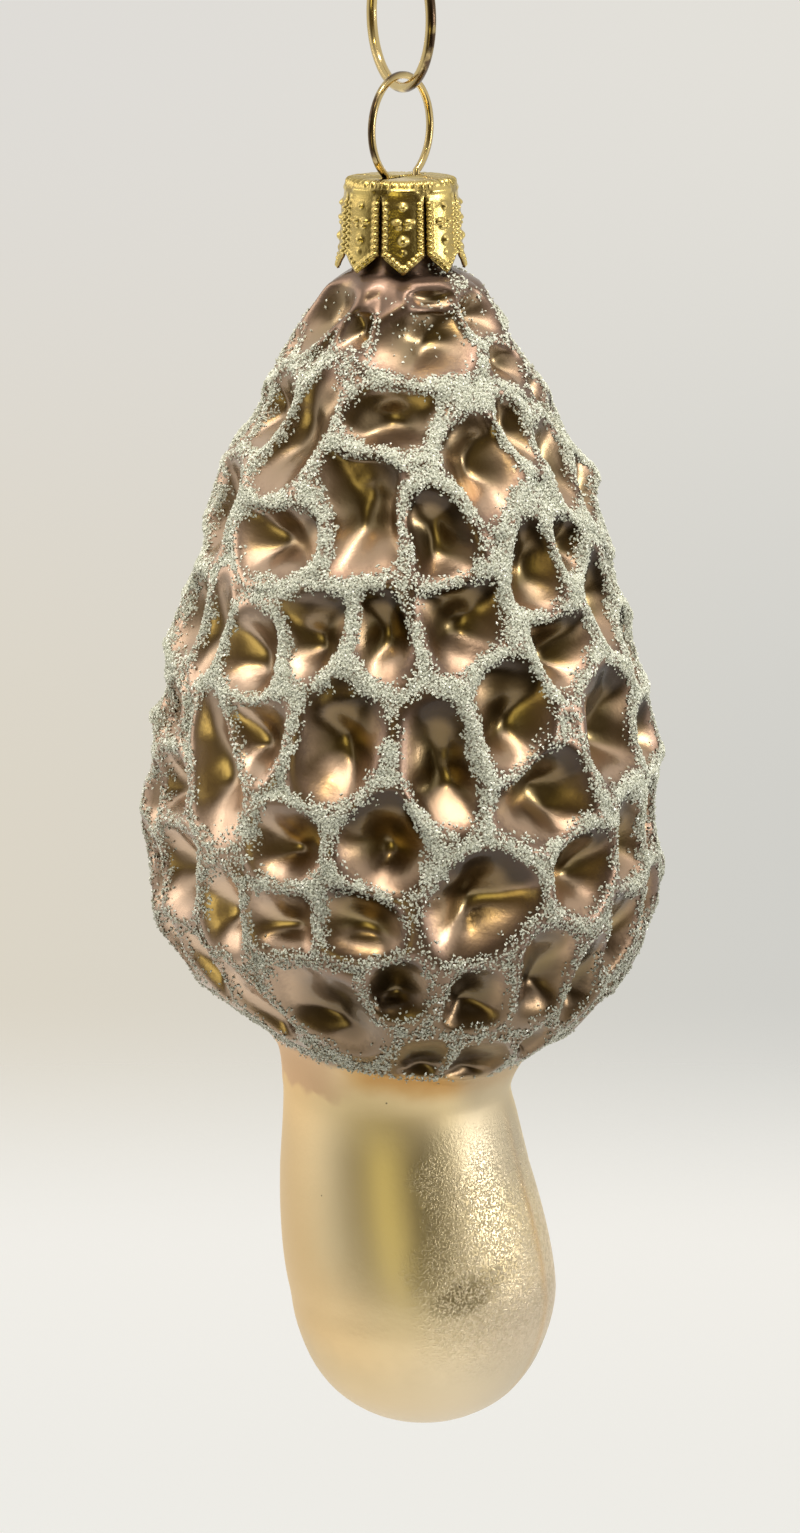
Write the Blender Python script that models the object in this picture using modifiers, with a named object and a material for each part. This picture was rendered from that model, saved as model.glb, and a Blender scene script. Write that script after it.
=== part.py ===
"""Morel mushroom ornament: blown glass under a stamped gold crown, hung from two linked rings.

The origin is the hang point, at the inside of the top of the hanging ring, and the front is -Y.
Sizes are in millimetres unless a name says otherwise, heights are below zero from the hang point,
and angles round the glass run from the front, positive to the right.
"""

import math
import random

import bmesh
import bpy
import numpy as np
from mathutils import Matrix, Vector

MM = 0.001

# Hanging ring and the loop that hangs in it
RING_RADIUS = 7.3
RING_WIRE = 0.55
RING_ACROSS = Vector((0.416, -0.909, 0.0)).normalized()
LOOP_RADIUS = 5.45
LOOP_WIRE = 0.4
LOOP_ACROSS = Vector((-0.550, -0.835, 0.0)).normalized()
GAP = 0.3
RING_CENTRE = RING_WIRE - RING_RADIUS
LOOP_TOP = RING_CENTRE - RING_RADIUS + RING_WIRE + GAP + LOOP_WIRE
LOOP_CENTRE = LOOP_TOP - LOOP_RADIUS
LOOP_ENTRY = 2.9
LOOP_STEPS = 34
LEG = ((5.3, -46.6), (5.6, -44.5), (4.2, -38.5), (2.85, -33.0), (2.85, -28.0), (2.8, -24.9))
LEG_SPACING = 1.6

# Crown
CROWN_TOP = LOOP_CENTRE - 4.8
CROWN_HEIGHT = 9.55
SHEET = 0.4
CROWN_OUTLINE = ((4.4, 0.05), (5.35, 0.3), (5.85, 1.0), (6.2, CROWN_HEIGHT))
CROWN_STEPS = 48
UNDER_SHOULDER = 0.12
TOP_INSET = 0.2
TABS = 8
TAB_TURN = 2.0
SLIT_HALF_DEG = 1.4
SLIT_TOP = 1.6
POINT_HEIGHT = 1.9
POINT_GAP_DEG = 1.0
CUTTER_RADII = (4.95, 7.5)
SLOT = (7.4, 1.5)
SLOT_CUT_HEIGHT = 3.0
BEAD_RADIUS = 0.24
BEAD_RISE = 0.2
BEAD_SINK = 0.2
BEADS_EACH_SIDE = 7
BEAD_EDGE_DEG = 15.5
BEAD_STEP_DEG = 6.6
BEAD_PITCH = 0.95
SINGLE_BEADS = ((0, CROWN_HEIGHT - 0.62), (0, 2.6), (0, 6.2), (-4.6, 4.3), (4.6, 4.3))

# Glass: radius and height, from the lip of the neck down
NECK_RADIUS = 4.9
NECK_LIP = CROWN_TOP - 2.3
GLASS_OUTLINE = (
    (NECK_RADIUS, NECK_LIP), (NECK_RADIUS, -31.8), (5.6, -32.95), (7.2, -34.0), (8.6, -36.1),
    (11.2, -40.2), (13.6, -44.4), (15.9, -48.6), (18.2, -52.9), (19.8, -57.5), (21.2, -62.5),
    (22.7, -68.0), (24.2, -73.5), (25.3, -79.5), (26.0, -86.0), (26.2, -93.0), (25.6, -98.6),
    (24.0, -102.6), (21.6, -105.8), (18.6, -108.3), (15.6, -110.2), (13.8, -112.2), (12.7, -114.6),
    (12.1, -118.2), (12.3, -121.5), (13.1, -127.0), (13.9, -132.5), (14.3, -137.5), (14.2, -141.5),
    (13.5, -145.5), (11.7, -149.8), (8.9, -153.1), (4.8, -155.4), (0.0, -156.0),
)
WALL = 1.0
HEAD_MIDDLE = 0.3
STEM_MIDDLE = ((-109.0, 0.3), (-118.0, -0.5), (-128.0, 0.4), (-142.0, 2.4), (-156.0, 2.4))
SKIRT_DROP = 4.2
SKIRT_DROP_ANGLE = 35.0
SKIRT_DROP_SHARE = ((94, 0), (110, 1), (114, 0.8), (122, 0))
NECK_TO_HEAD = (32, 36)
KNOBS = ((90, -82.4, 1.0, 2.2), (90, -96.3, 0.8, 2.2), (-90, -90.0, 0.8, 3.5), (-88, -71.7, 0.8, 3.0),
         (-90, -80.3, 0.6, 2.5), (86, -55.0, 0.9, 3.0), (80, -72.5, 0.5, 3.0), (-85, -101.5, 0.5, 2.5))

# Pits of the front, top to bottom: angle, height, width, length, lean and taper.
# Lean turns the top to the right. A pit with taper over 0 is wider at its top.
FRONT_PITS = (
    (22, -35.3, 4.5, 2.2, 0, 0.0), (-61, -37.2, 4.6, 8.0, 37, 0.0), (-26, -38.2, 3.2, 3.9, 0, 0.0),
    (13, -39.4, 10.2, 6.6, -25, 0.2), (54, -37.2, 4.6, 5.0, -10, 0.0), (57, -42.0, 5.0, 4.0, 20, 0.0),
    (-65, -47.0, 6.6, 7.6, 35, 0.0), (-42, -48.5, 6.2, 12.0, 22, -0.2), (-4, -46.8, 11.2, 6.4, -8, 0.0),
    (27, -50.9, 8.2, 9.8, 0, 0.3), (46, -48.0, 4.4, 7.0, -35, 0.0), (63, -52.4, 5.6, 9.0, -10, 0.0),
    (-74, -57.0, 8.0, 10.0, 5, 0.0), (-39, -58.8, 9.4, 7.0, 0, 0.2), (-13, -54.9, 8.8, 13.6, -20, -0.1),
    (10, -58.3, 6.6, 10.0, -25, 0.0), (39, -61.5, 5.8, 10.0, 5, -0.3), (55, -60.0, 4.6, 6.0, 0, 0.0),
    (65, -66.0, 6.0, 9.4, -12, 0.0), (16, -66.6, 7.8, 10.2, 10, 0.25), (-72, -68.0, 7.0, 8.0, 12, 0.0),
    (-57, -68.5, 3.4, 9.8, 8, 0.0), (-41, -70.3, 7.2, 8.6, 12, 0.1), (-24, -68.0, 6.6, 8.4, 0, 0.3),
    (-6, -67.5, 5.6, 8.8, -10, 0.0), (-71, -78.0, 5.0, 6.0, 0, 0.0), (-48, -81.6, 5.6, 14.2, -16, -0.2),
    (-37, -78.4, 6.6, 8.2, -5, 0.3), (-15, -78.2, 7.3, 12.0, 8, 0.1), (-67, -85.5, 7.6, 7.4, 0, 0.0),
    (-27, -88.9, 7.6, 7.0, 0, 0.1), (-4, -88.4, 9.2, 9.8, -10, 0.1), (43, -69.9, 7.4, 8.6, 10, 0.5),
    (58, -78.4, 8.8, 11.4, -8, 0.0), (27, -76.2, 7.6, 11.8, 0, 0.3), (9, -80.5, 7.8, 12.2, -8, 0.0),
    (35, -84.0, 10.2, 9.6, 15, -0.45), (62, -90.7, 5.6, 9.0, 0, 0.0), (44, -92.0, 7.4, 8.4, 15, 0.2),
    (17, -93.8, 10.4, 8.0, -22, -0.2), (-63, -93.5, 8.6, 8.4, 0, 0.2), (-45, -96.0, 5.4, 7.8, -15, 0.0),
    (-27, -96.3, 7.0, 5.4, 0, 0.0), (-9, -95.9, 7.8, 5.8, 8, 0.0), (-20, -104.0, 10.0, 6.6, 22, 0.0),
    (-2, -101.8, 5.9, 5.8, 0, 0.0), (17, -102.4, 6.3, 5.6, 0, 0.0), (36, -100.9, 6.2, 7.8, 0, 0.1),
    (51, -102.4, 5.2, 7.0, 10, 0.0), (60, -98.8, 5.4, 6.4, 15, 0.4), (-56, -102.2, 3.8, 6.8, -30, 0.0),
    (-41, -105.0, 3.6, 7.0, -40, 0.0), (7, -108.9, 5.4, 3.9, 0, 0.0), (25, -109.5, 5.8, 4.2, 5, 0.0),
    (44, -107.4, 3.8, 3.6, 35, 0.0), (72, -107.0, 5.0, 3.4, 25, 0.0),
)

# Pits that notch the sides as they are seen from the front
SIDE_PITS = (
    (88, -41.5, 5.5, 5.5, 0, 0.0), (91, -49.3, 6.5, 6.0, 10, 0.0), (89, -58.0, 7.5, 6.4, -8, 0.1),
    (92, -65.2, 6.5, 5.4, 0, 0.0), (89, -72.6, 7.0, 6.4, 5, 0.0), (90, -89.3, 7.4, 8.6, -5, 0.0),
    (91, -102.0, 7.2, 5.6, 0, 0.0), (86, -107.4, 5.6, 3.4, 0, 0.0),
    (-86, -41.0, 5.0, 5.5, 10, 0.0), (-91, -49.0, 6.2, 6.2, -10, 0.0), (-90, -55.8, 5.8, 4.8, 0, 0.0),
    (-91, -62.8, 8.2, 7.2, 8, 0.0), (-88, -69.2, 5.4, 4.4, 0, 0.0), (-91, -75.6, 8.4, 7.0, 0, 0.1),
    (-90, -83.4, 5.6, 6.0, 0, 0.0), (-86, -93.0, 5.0, 6.0, 0, 0.0), (-91, -99.0, 6.0, 5.0, 0, 0.0),
    (-90, -105.3, 8.4, 7.4, 0, 0.1),
    (76, -46.5, 4.4, 6.4, -10, 0.0), (77, -55.0, 4.6, 7.0, 8, 0.0), (79, -63.5, 4.4, 6.6, -6, 0.0),
    (77, -71.6, 5.0, 7.4, 4, 0.0), (76, -80.6, 5.6, 8.0, -8, 0.0), (76, -89.6, 5.6, 8.0, 6, 0.0),
    (76, -98.0, 5.2, 6.6, 0, 0.0), (-79, -48.0, 3.6, 6.0, 8, 0.0), (-80, -78.5, 4.6, 7.0, -5, 0.0),
    (-79, -87.4, 5.0, 7.0, 6, 0.0), (-77, -95.0, 5.4, 7.4, 0, 0.0), (-72, -101.8, 5.6, 6.4, -8, 0.0),
)

# Pits of the sides and back, in rows that stagger: height, row by row
BACK_ROWS = (-39.0, -45.5, -53.0, -61.5, -70.0, -78.5, -87.0, -95.5, -103.0, -108.6)
BACK_FROM, BACK_TO = 98.0, 261.0
BACK_PITCH = 8.8
BACK_SEED = 11

PIT_SPREAD = 1.05
PIT_DEPTH = 0.50
DEEPEST_PIT = 4.2
SHOULDER = 1.22
CORNER = 2.6
LOW_POINT = -0.35
RIDGE_RISE = 0.8
RIDGE_WIDTH = 0.3
FAR = 9.0
MEETING, MEETING_WIDTH = 0.06, 0.34

# Fineness of the solids
GLASS_STEPS = 220
GLASS_SPACING = 0.55
GLASS_TRIANGLES = 8800
INNER_STEPS = 72
INNER_SPACING = 2.6
LOOK_REACHES = (1.0, 2.0)
LOOK_TURNS = 10

GOLD = (0.83, 0.62, 0.22, 1.0)
COPPER_GLASS = (0.42, 0.31, 0.22, 1.0)


# ---------------------------------------------------------------- scene and small helpers

def clear_scene():
    for thing in list(bpy.data.objects):
        bpy.data.objects.remove(thing, do_unlink=True)


def new_collection(name):
    collection = bpy.data.collections.new(name)
    bpy.context.scene.collection.children.link(collection)
    return collection


def add_object(name, data, collection):
    thing = bpy.data.objects.new(name, data)
    collection.objects.link(thing)
    return thing


def set_material(thing, name, colour, metallic, roughness):
    material = bpy.data.materials.new(name)
    material.use_nodes = True
    surface = material.node_tree.nodes["Principled BSDF"]
    surface.inputs["Base Color"].default_value = colour
    surface.inputs["Metallic"].default_value = metallic
    surface.inputs["Roughness"].default_value = roughness
    thing.data.materials.clear()
    thing.data.materials.append(material)


def smooth_line(points, spacing):
    """Points at about an even spacing on a smooth curve through the given ones."""
    ends = [2 * Vector(points[0]) - Vector(points[1])]
    ends += [Vector(p) for p in points]
    ends += [2 * Vector(points[-1]) - Vector(points[-2])]
    line = []
    for before, start, end, after in zip(ends, ends[1:], ends[2:], ends[3:]):
        count = max(2, round((end - start).length / spacing))
        for i in range(count):
            t = i / count
            line.append(0.5 * (2 * start + (end - before) * t
                               + (2 * before - 5 * start + 4 * end - after) * t ** 2
                               + (3 * start - before - 3 * end + after) * t ** 3))
    line.append(ends[-2])
    return line


def evaluated_mesh(thing):
    graph = bpy.context.evaluated_depsgraph_get()
    return bpy.data.meshes.new_from_object(thing.evaluated_get(graph), depsgraph=graph)


def turned_mesh(outline, steps):
    """The surface that an outline of (radius, height) points makes round Z, in metres."""
    profile = bmesh.new()
    verts = [profile.verts.new((r * MM, 0.0, z * MM)) for r, z in outline]
    for a, b in zip(verts, verts[1:]):
        profile.edges.new((a, b))
    mesh = bpy.data.meshes.new("profile")
    profile.to_mesh(mesh)
    profile.free()
    thing = bpy.data.objects.new("profile", mesh)
    bpy.context.scene.collection.objects.link(thing)
    screw = thing.modifiers.new("turn", "SCREW")
    screw.steps = steps
    screw.render_steps = steps
    screw.use_merge_vertices = True
    screw.merge_threshold = 0.000002
    turned = evaluated_mesh(thing)
    bpy.data.objects.remove(thing)
    return turned


# ---------------------------------------------------------------- glass

def radius_at(height):
    """Radius of the unpitted head at a height, in millimetres."""
    heights = [-z for r, z in GLASS_OUTLINE]
    return np.interp(-height, heights, [r for r, z in GLASS_OUTLINE])


def back_pits():
    """Pits in staggered rows round the sides and back, each a little off its place."""
    draw = random.Random(BACK_SEED)
    pits = []
    for row, height in enumerate(BACK_ROWS):
        gap = abs(BACK_ROWS[min(row + 1, len(BACK_ROWS) - 1)] - BACK_ROWS[max(row - 1, 0)])
        gap /= min(row + 1, len(BACK_ROWS) - 1) - max(row - 1, 0)
        arc = math.radians(BACK_TO - BACK_FROM) * float(radius_at(height))
        count = max(4, round(arc / BACK_PITCH))
        pitch_deg = (BACK_TO - BACK_FROM) / count
        for i in range(count):
            angle = BACK_FROM + pitch_deg * (i + 0.3 + 0.4 * (row % 2) + draw.uniform(-0.2, 0.2))
            width = arc / count * draw.uniform(0.72, 1.02)
            length = gap * draw.uniform(0.85, 1.3)
            pits.append((angle, height + draw.uniform(-1.4, 1.4), width, length,
                         draw.uniform(-28, 28), draw.uniform(-0.35, 0.4)))
    return pits


def pit_depths(angle, height, pits):
    """Depth of the pits at each place, with the ridges between them left standing."""
    nearest = np.full(angle.shape, FAR)
    second = nearest.copy()
    depth = np.zeros(angle.shape)
    radius = radius_at(height)
    for number, (turn, middle, width, length, lean, taper) in enumerate(pits):
        off = (angle - math.radians(turn) + math.pi) % (2 * math.pi) - math.pi
        across = off * radius
        up = height - middle
        tilt = math.radians(lean)
        v = (up * math.cos(tilt) + across * math.sin(tilt)) / (length / 2 * PIT_SPREAD)
        u = (across * math.cos(tilt) - up * math.sin(tilt)) / (width / 2 * PIT_SPREAD)
        u = u / (1 + taper * np.clip(v, -1, 1))
        reach = (np.abs(u) ** CORNER + np.abs(v) ** CORNER) ** (1 / CORNER)
        low = np.clip(LOW_POINT + 0.22 * math.sin(5.3 * number) * u, -0.75, 0.3)
        fall = (np.clip(SHOULDER - v, 0, 3) / (SHOULDER - low)) ** 0.7
        rise = (np.clip(SHOULDER + v, 0, 3) / (SHOULDER + low)) ** 0.9
        valley = 0.5 * (fall + rise - np.sqrt((fall - rise) ** 2 + 0.01))
        bowl = 0.5 + 0.5 * np.cos(np.pi * np.clip(reach / SHOULDER, 0, 1))
        deepest = min(PIT_DEPTH * min(width, length), DEEPEST_PIT)
        closer = reach < nearest
        second = np.where(closer, nearest, np.minimum(second, reach))
        nearest = np.where(closer, reach, nearest)
        depth = np.where(closer, deepest * bowl * np.clip(valley, 0, 1), depth)
    apart = np.clip((second - nearest - MEETING) / MEETING_WIDTH, 0, 1)
    ridge = RIDGE_RISE * np.exp(-((nearest - SHOULDER) / RIDGE_WIDTH) ** 2)
    return depth * apart * apart * (3 - 2 * apart) - ridge


def knob_rise(angle, height):
    """Height of the few lumps that stand out of the head's sides."""
    rise = np.zeros(angle.shape)
    for turn, middle, tall, reach in KNOBS:
        off = (angle - math.radians(turn) + math.pi) % (2 * math.pi) - math.pi
        away = (off * radius_at(height)) ** 2 + (height - middle) ** 2
        rise += tall * np.exp(-away / reach ** 2)
    return rise


def bend(points):
    """Sets the turned glass a little off round: the skirt drops at the front, the stem leans."""
    angle = np.arctan2(points[:, 0], -points[:, 1])
    height = points[:, 2].copy()
    share = np.interp(-height, [z for z, part in SKIRT_DROP_SHARE], [part for z, part in SKIRT_DROP_SHARE])
    turn = angle - math.radians(SKIRT_DROP_ANGLE)
    points[:, 2] -= SKIRT_DROP * share * (1 + np.cos(turn)) / 2
    middle = np.interp(-height, NECK_TO_HEAD, (0, HEAD_MIDDLE))
    stem_heights = [-z for z, x in STEM_MIDDLE]
    on_stem = height < STEM_MIDDLE[0][0]
    middle = np.where(on_stem, np.interp(-height, stem_heights, [x for z, x in STEM_MIDDLE]), middle)
    points[:, 0] += middle


def shaped(mesh, inward):
    """Presses the pits into a turned surface. An inner wall takes the deepest pit near each place."""
    points = np.empty(len(mesh.vertices) * 3, np.float32)
    mesh.vertices.foreach_get("co", points)
    points = points.reshape(-1, 3).astype(float) / MM
    angle = np.arctan2(points[:, 0], -points[:, 1])
    height = points[:, 2]
    radius = np.hypot(points[:, 0], points[:, 1])
    pits = list(FRONT_PITS) + list(SIDE_PITS) + back_pits()
    depth = pit_depths(angle, height, pits)
    if inward:
        for turn in range(LOOK_TURNS):
            way = turn * 2 * math.pi / LOOK_TURNS
            for reach in LOOK_REACHES:
                side = reach * math.cos(way) / np.maximum(radius, NECK_RADIUS - WALL)
                rise = reach * math.sin(way)
                depth = np.maximum(depth, pit_depths(angle + side, height + rise, pits))
    else:
        depth -= knob_rise(angle, height)
    new_radius = np.maximum(radius - depth, 0)
    scale = np.where(radius > 0.01, new_radius / np.maximum(radius, 0.01), 1)
    points[:, 0] *= scale
    points[:, 1] *= scale
    bend(points)
    mesh.vertices.foreach_set("co", (points * MM).astype(np.float32).ravel())
    mesh.update()


def inner_outline():
    """The glass's outline moved in by the wall, from the lip down."""
    line = smooth_line(GLASS_OUTLINE, INNER_SPACING)
    moved = [(NECK_RADIUS - WALL, NECK_LIP)]
    for before, here, after in zip(line, line[1:], line[2:]):
        along = (after - before).normalized()
        moved.append((here[0] + along[1] * WALL, here[1] - along[0] * WALL))
    moved.append((0.0, GLASS_OUTLINE[-1][1] + WALL))
    return moved


def make_glass(collection):
    outer = turned_mesh(smooth_line(GLASS_OUTLINE, GLASS_SPACING), GLASS_STEPS)
    inner = turned_mesh(inner_outline(), INNER_STEPS)
    shaped(outer, inward=False)
    shaped(inner, inward=True)
    body = bmesh.new()
    body.from_mesh(inner)
    bmesh.ops.reverse_faces(body, faces=body.faces)
    body.from_mesh(outer)
    lip = [e for e in body.edges if e.is_boundary]
    bmesh.ops.bridge_loops(body, edges=lip)
    bmesh.ops.triangulate(body, faces=body.faces)
    mesh = bpy.data.meshes.new("glass_body")
    body.to_mesh(mesh)
    body.free()
    glass = add_object("glass_body", mesh, collection)
    thin = glass.modifiers.new("coarser", "DECIMATE")
    thin.ratio = GLASS_TRIANGLES / len(mesh.polygons)
    mesh.shade_smooth()
    set_material(glass, "lacquered_glass", COPPER_GLASS, 0.9, 0.25)
    return glass


# ---------------------------------------------------------------- crown

def crown_radius(drop):
    """Outer radius of the crown's skirt at a drop below its top."""
    (top_radius, top), (tip_radius, tip) = CROWN_OUTLINE[2:]
    return top_radius + (tip_radius - top_radius) * (drop - top) / (tip - top)


def crown_shell(collection):
    outside = [(0.0, CROWN_TOP)] + [(r, CROWN_TOP - drop) for r, drop in CROWN_OUTLINE]
    top_edge, *shoulder, tip = CROWN_OUTLINE
    inside = [(0.0, CROWN_TOP - SHEET), (top_edge[0] - TOP_INSET, CROWN_TOP - top_edge[1] - SHEET)]
    inside += [(r - SHEET, CROWN_TOP - drop - UNDER_SHOULDER) for r, drop in shoulder]
    inside += [(tip[0] - SHEET, CROWN_TOP - tip[1])]
    mesh = turned_mesh(outside + inside[::-1], CROWN_STEPS)
    return add_object("crown_cap", mesh, collection)


def tab_cutter(collection):
    """One wedge for each gap between tabs: a slit that opens out into the tabs' points."""
    wide = 180 / TABS - POINT_GAP_DEG
    point = CROWN_HEIGHT - POINT_HEIGHT
    outline = ((SLIT_HALF_DEG, SLIT_TOP), (SLIT_HALF_DEG, point), (wide, CROWN_HEIGHT - 0.05),
               (wide, CROWN_HEIGHT + 1), (-wide, CROWN_HEIGHT + 1), (-wide, CROWN_HEIGHT - 0.05),
               (-SLIT_HALF_DEG, point), (-SLIT_HALF_DEG, SLIT_TOP))
    shape = bmesh.new()
    for tab in range(TABS):
        middle = TAB_TURN + (tab + 0.5) * 360 / TABS
        rings = []
        for radius in CUTTER_RADII:
            ring = []
            for turn, drop in outline:
                angle = math.radians(middle + turn)
                place = (radius * math.sin(angle), -radius * math.cos(angle), CROWN_TOP - drop)
                ring.append(shape.verts.new(Vector(place) * MM))
            rings.append(ring)
        near, far = rings
        shape.faces.new(near)
        shape.faces.new(far[::-1])
        for i in range(len(outline)):
            j = (i + 1) % len(outline)
            shape.faces.new((near[i], far[i], far[j], near[j]))
    bmesh.ops.recalc_face_normals(shape, faces=shape.faces)
    mesh = bpy.data.meshes.new("tab_gaps")
    shape.to_mesh(mesh)
    shape.free()
    return hidden_cutter("tab_gaps", mesh, collection)


def slot_cutter(collection):
    """The slot in the crown's top that the loop's legs go down through."""
    shape = bmesh.new()
    bmesh.ops.create_cube(shape, size=1.0)
    bmesh.ops.scale(shape, vec=Vector((*SLOT, SLOT_CUT_HEIGHT)) * MM, verts=shape.verts)
    turn = Matrix.Rotation(math.atan2(LOOP_ACROSS.y, LOOP_ACROSS.x), 3, "Z")
    bmesh.ops.rotate(shape, matrix=turn, verts=shape.verts)
    bmesh.ops.translate(shape, vec=(0, 0, CROWN_TOP * MM), verts=shape.verts)
    mesh = bpy.data.meshes.new("loop_slot")
    shape.to_mesh(mesh)
    shape.free()
    return hidden_cutter("loop_slot", mesh, collection)


def hidden_cutter(name, mesh, collection):
    cutter = add_object(name, mesh, collection)
    cutter.hide_render = True
    cutter.display_type = "WIRE"
    return cutter


def bead_places():
    """Where a tab's stamped beads stand: degrees from its middle, and drop below the crown's top."""
    places = []
    for side in (-1, 1):
        for i in range(BEADS_EACH_SIDE):
            places.append((side * BEAD_EDGE_DEG, SLIT_TOP + 0.2 + BEAD_PITCH * i))
        for i in range(1, 3):
            turn = BEAD_EDGE_DEG - BEAD_STEP_DEG * i
            places.append((side * turn, CROWN_HEIGHT - POINT_HEIGHT + BEAD_PITCH / 2 * i))
    return places + list(SINGLE_BEADS)


def make_beads(collection):
    """Low five-sided studs over every tab, in one mesh."""
    beads = bmesh.new()
    for tab in range(TABS):
        for turn, drop in bead_places():
            angle = math.radians(TAB_TURN + tab * 360 / TABS + turn)
            out = Vector((math.sin(angle), -math.cos(angle), 0.0))
            foot = out * (crown_radius(drop) - BEAD_SINK)
            foot.z = CROWN_TOP - drop
            tall = (BEAD_SINK + BEAD_RISE) * MM
            facing = out.to_track_quat("Z", "Y").to_matrix().to_4x4()
            place = Matrix.Translation((foot + out * tall / MM / 2) * MM) @ facing
            bmesh.ops.create_cone(beads, cap_ends=True, segments=5, radius1=BEAD_RADIUS * 1.25 * MM,
                                  radius2=BEAD_RADIUS * 0.5 * MM, depth=tall, matrix=place)
    mesh = bpy.data.meshes.new("beads")
    beads.to_mesh(mesh)
    beads.free()
    return hidden_cutter("beads", mesh, collection)


def make_crown(collection, cutters):
    crown = crown_shell(collection)
    for name, operation, tool in (("tabs", "DIFFERENCE", tab_cutter(cutters)),
                                  ("slot", "DIFFERENCE", slot_cutter(cutters)),
                                  ("stamping", "UNION", make_beads(cutters))):
        step = crown.modifiers.new(name, "BOOLEAN")
        step.operation = operation
        step.object = tool
    set_material(crown, "gold_crown", GOLD, 1.0, 0.22)
    return crown


# ---------------------------------------------------------------- ring and loop

def make_ring(collection):
    bpy.ops.mesh.primitive_torus_add(major_radius=RING_RADIUS * MM, minor_radius=RING_WIRE * MM,
                                     major_segments=48, minor_segments=8)
    ring = bpy.context.object
    ring.name = "hanging_ring"
    ring.data.name = "hanging_ring"
    for holder in list(ring.users_collection):
        holder.objects.unlink(ring)
    collection.objects.link(ring)
    facing = RING_ACROSS.cross(Vector((0, 0, 1)))
    ring.rotation_euler = facing.to_track_quat("Z", "Y").to_euler()
    ring.location = (0, 0, RING_CENTRE * MM)
    ring.data.shade_smooth()
    set_material(ring, "gold_ring", GOLD, 1.0, 0.2)
    return ring


def loop_line():
    """The loop's wire from one leg's tip to the other's, in its own plane."""
    leg = smooth_line(LEG, LEG_SPACING)
    line = list(leg)
    entry = math.asin(LOOP_ENTRY / LOOP_RADIUS)
    for i in range(LOOP_STEPS + 1):
        angle = entry + (2 * math.pi - 2 * entry) * i / LOOP_STEPS
        line.append(Vector((LOOP_RADIUS * math.sin(angle), LOOP_CENTRE - LOOP_RADIUS * math.cos(angle))))
    return line + [Vector((-across, height)) for across, height in leg[::-1]]


def make_loop(collection):
    curve = bpy.data.curves.new("wire_loop", "CURVE")
    curve.dimensions = "3D"
    curve.bevel_depth = LOOP_WIRE * MM
    curve.bevel_resolution = 2
    curve.use_fill_caps = True
    line = loop_line()
    spline = curve.splines.new("POLY")
    spline.points.add(len(line) - 1)
    for point, (across, height) in zip(spline.points, line):
        place = LOOP_ACROSS * across + Vector((0, 0, height))
        point.co = (*(place * MM), 1.0)
    loop = add_object("wire_loop", curve, collection)
    set_material(loop, "gold_wire", GOLD, 1.0, 0.2)
    return loop


def hang_from(pivot, things):
    """Parents the ornament's pieces to an empty on the line it swings about."""
    bpy.context.view_layer.update()
    for thing in things:
        thing.parent = pivot
        thing.matrix_parent_inverse = pivot.matrix_world.inverted()


def main():
    clear_scene()
    parts = new_collection("morel_mushroom_ornament")
    cutters = new_collection("cutters")
    make_ring(parts)
    glass = make_glass(parts)
    crown = make_crown(parts, cutters)
    loop = make_loop(parts)
    pivot = add_object("ornament_swing", None, parts)
    pivot.location = (0, 0, LOOP_TOP * MM)
    hang_from(pivot, (glass, crown, loop))


main()
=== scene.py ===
"""Morel mushroom ornament: mould-blown glass with a frosted honeycomb cap, hung from a gold crown.

Sizes are in millimetres unless a name says otherwise. Heights are below zero from the hang point, and
a drop is how far a place lies below it, or on the crown below the crown's top. Angles round the glass
run from the front, -Y, positive to the right. A pair of drops or of values gives the ends of a soft step.
"""

import math
import random

import bmesh
import bpy
import numpy as np
from mathutils import Matrix, Vector, noise


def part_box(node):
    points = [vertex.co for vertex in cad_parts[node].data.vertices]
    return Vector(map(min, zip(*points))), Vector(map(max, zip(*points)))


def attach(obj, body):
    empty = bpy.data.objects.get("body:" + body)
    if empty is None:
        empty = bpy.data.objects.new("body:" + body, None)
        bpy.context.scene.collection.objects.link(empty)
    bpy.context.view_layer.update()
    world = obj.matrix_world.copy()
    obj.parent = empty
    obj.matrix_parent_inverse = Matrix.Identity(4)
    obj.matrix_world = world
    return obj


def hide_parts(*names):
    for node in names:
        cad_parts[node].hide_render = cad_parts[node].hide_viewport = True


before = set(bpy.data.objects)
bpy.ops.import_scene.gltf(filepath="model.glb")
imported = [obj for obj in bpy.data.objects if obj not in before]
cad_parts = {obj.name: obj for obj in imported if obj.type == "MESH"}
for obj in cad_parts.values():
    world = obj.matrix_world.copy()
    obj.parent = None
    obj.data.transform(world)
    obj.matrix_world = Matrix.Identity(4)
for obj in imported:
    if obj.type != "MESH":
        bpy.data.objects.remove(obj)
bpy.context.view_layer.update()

MM = 0.001

# ---------------------------------------------------------------- glass, the same form as the solid

NECK_RADIUS = 4.9
NECK_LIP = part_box("glass_body")[1].z / MM
GLASS_OUTLINE = (
    (NECK_RADIUS, NECK_LIP), (NECK_RADIUS, -31.8), (5.6, -32.95), (7.2, -34.0), (8.6, -36.1),
    (11.2, -40.2), (13.6, -44.4), (15.9, -48.6), (18.2, -52.9), (19.8, -57.5), (21.2, -62.5),
    (22.7, -68.0), (24.2, -73.5), (25.3, -79.5), (26.0, -86.0), (26.2, -93.0), (25.6, -98.6),
    (24.0, -102.6), (21.6, -105.8), (18.6, -108.3), (15.6, -110.2), (13.8, -112.2), (12.7, -114.6),
    (12.1, -118.2), (12.3, -121.5), (13.1, -127.0), (13.9, -132.5), (14.3, -137.5), (14.2, -141.5),
    (13.5, -145.5), (11.7, -149.8), (8.9, -153.1), (4.8, -155.4), (0.0, -156.0),
)
WALL = 1.0
HEAD_MIDDLE = 0.3
STEM_MIDDLE = ((-109.0, 0.3), (-118.0, -0.5), (-128.0, 0.4), (-142.0, 2.4), (-156.0, 2.4))
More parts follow.
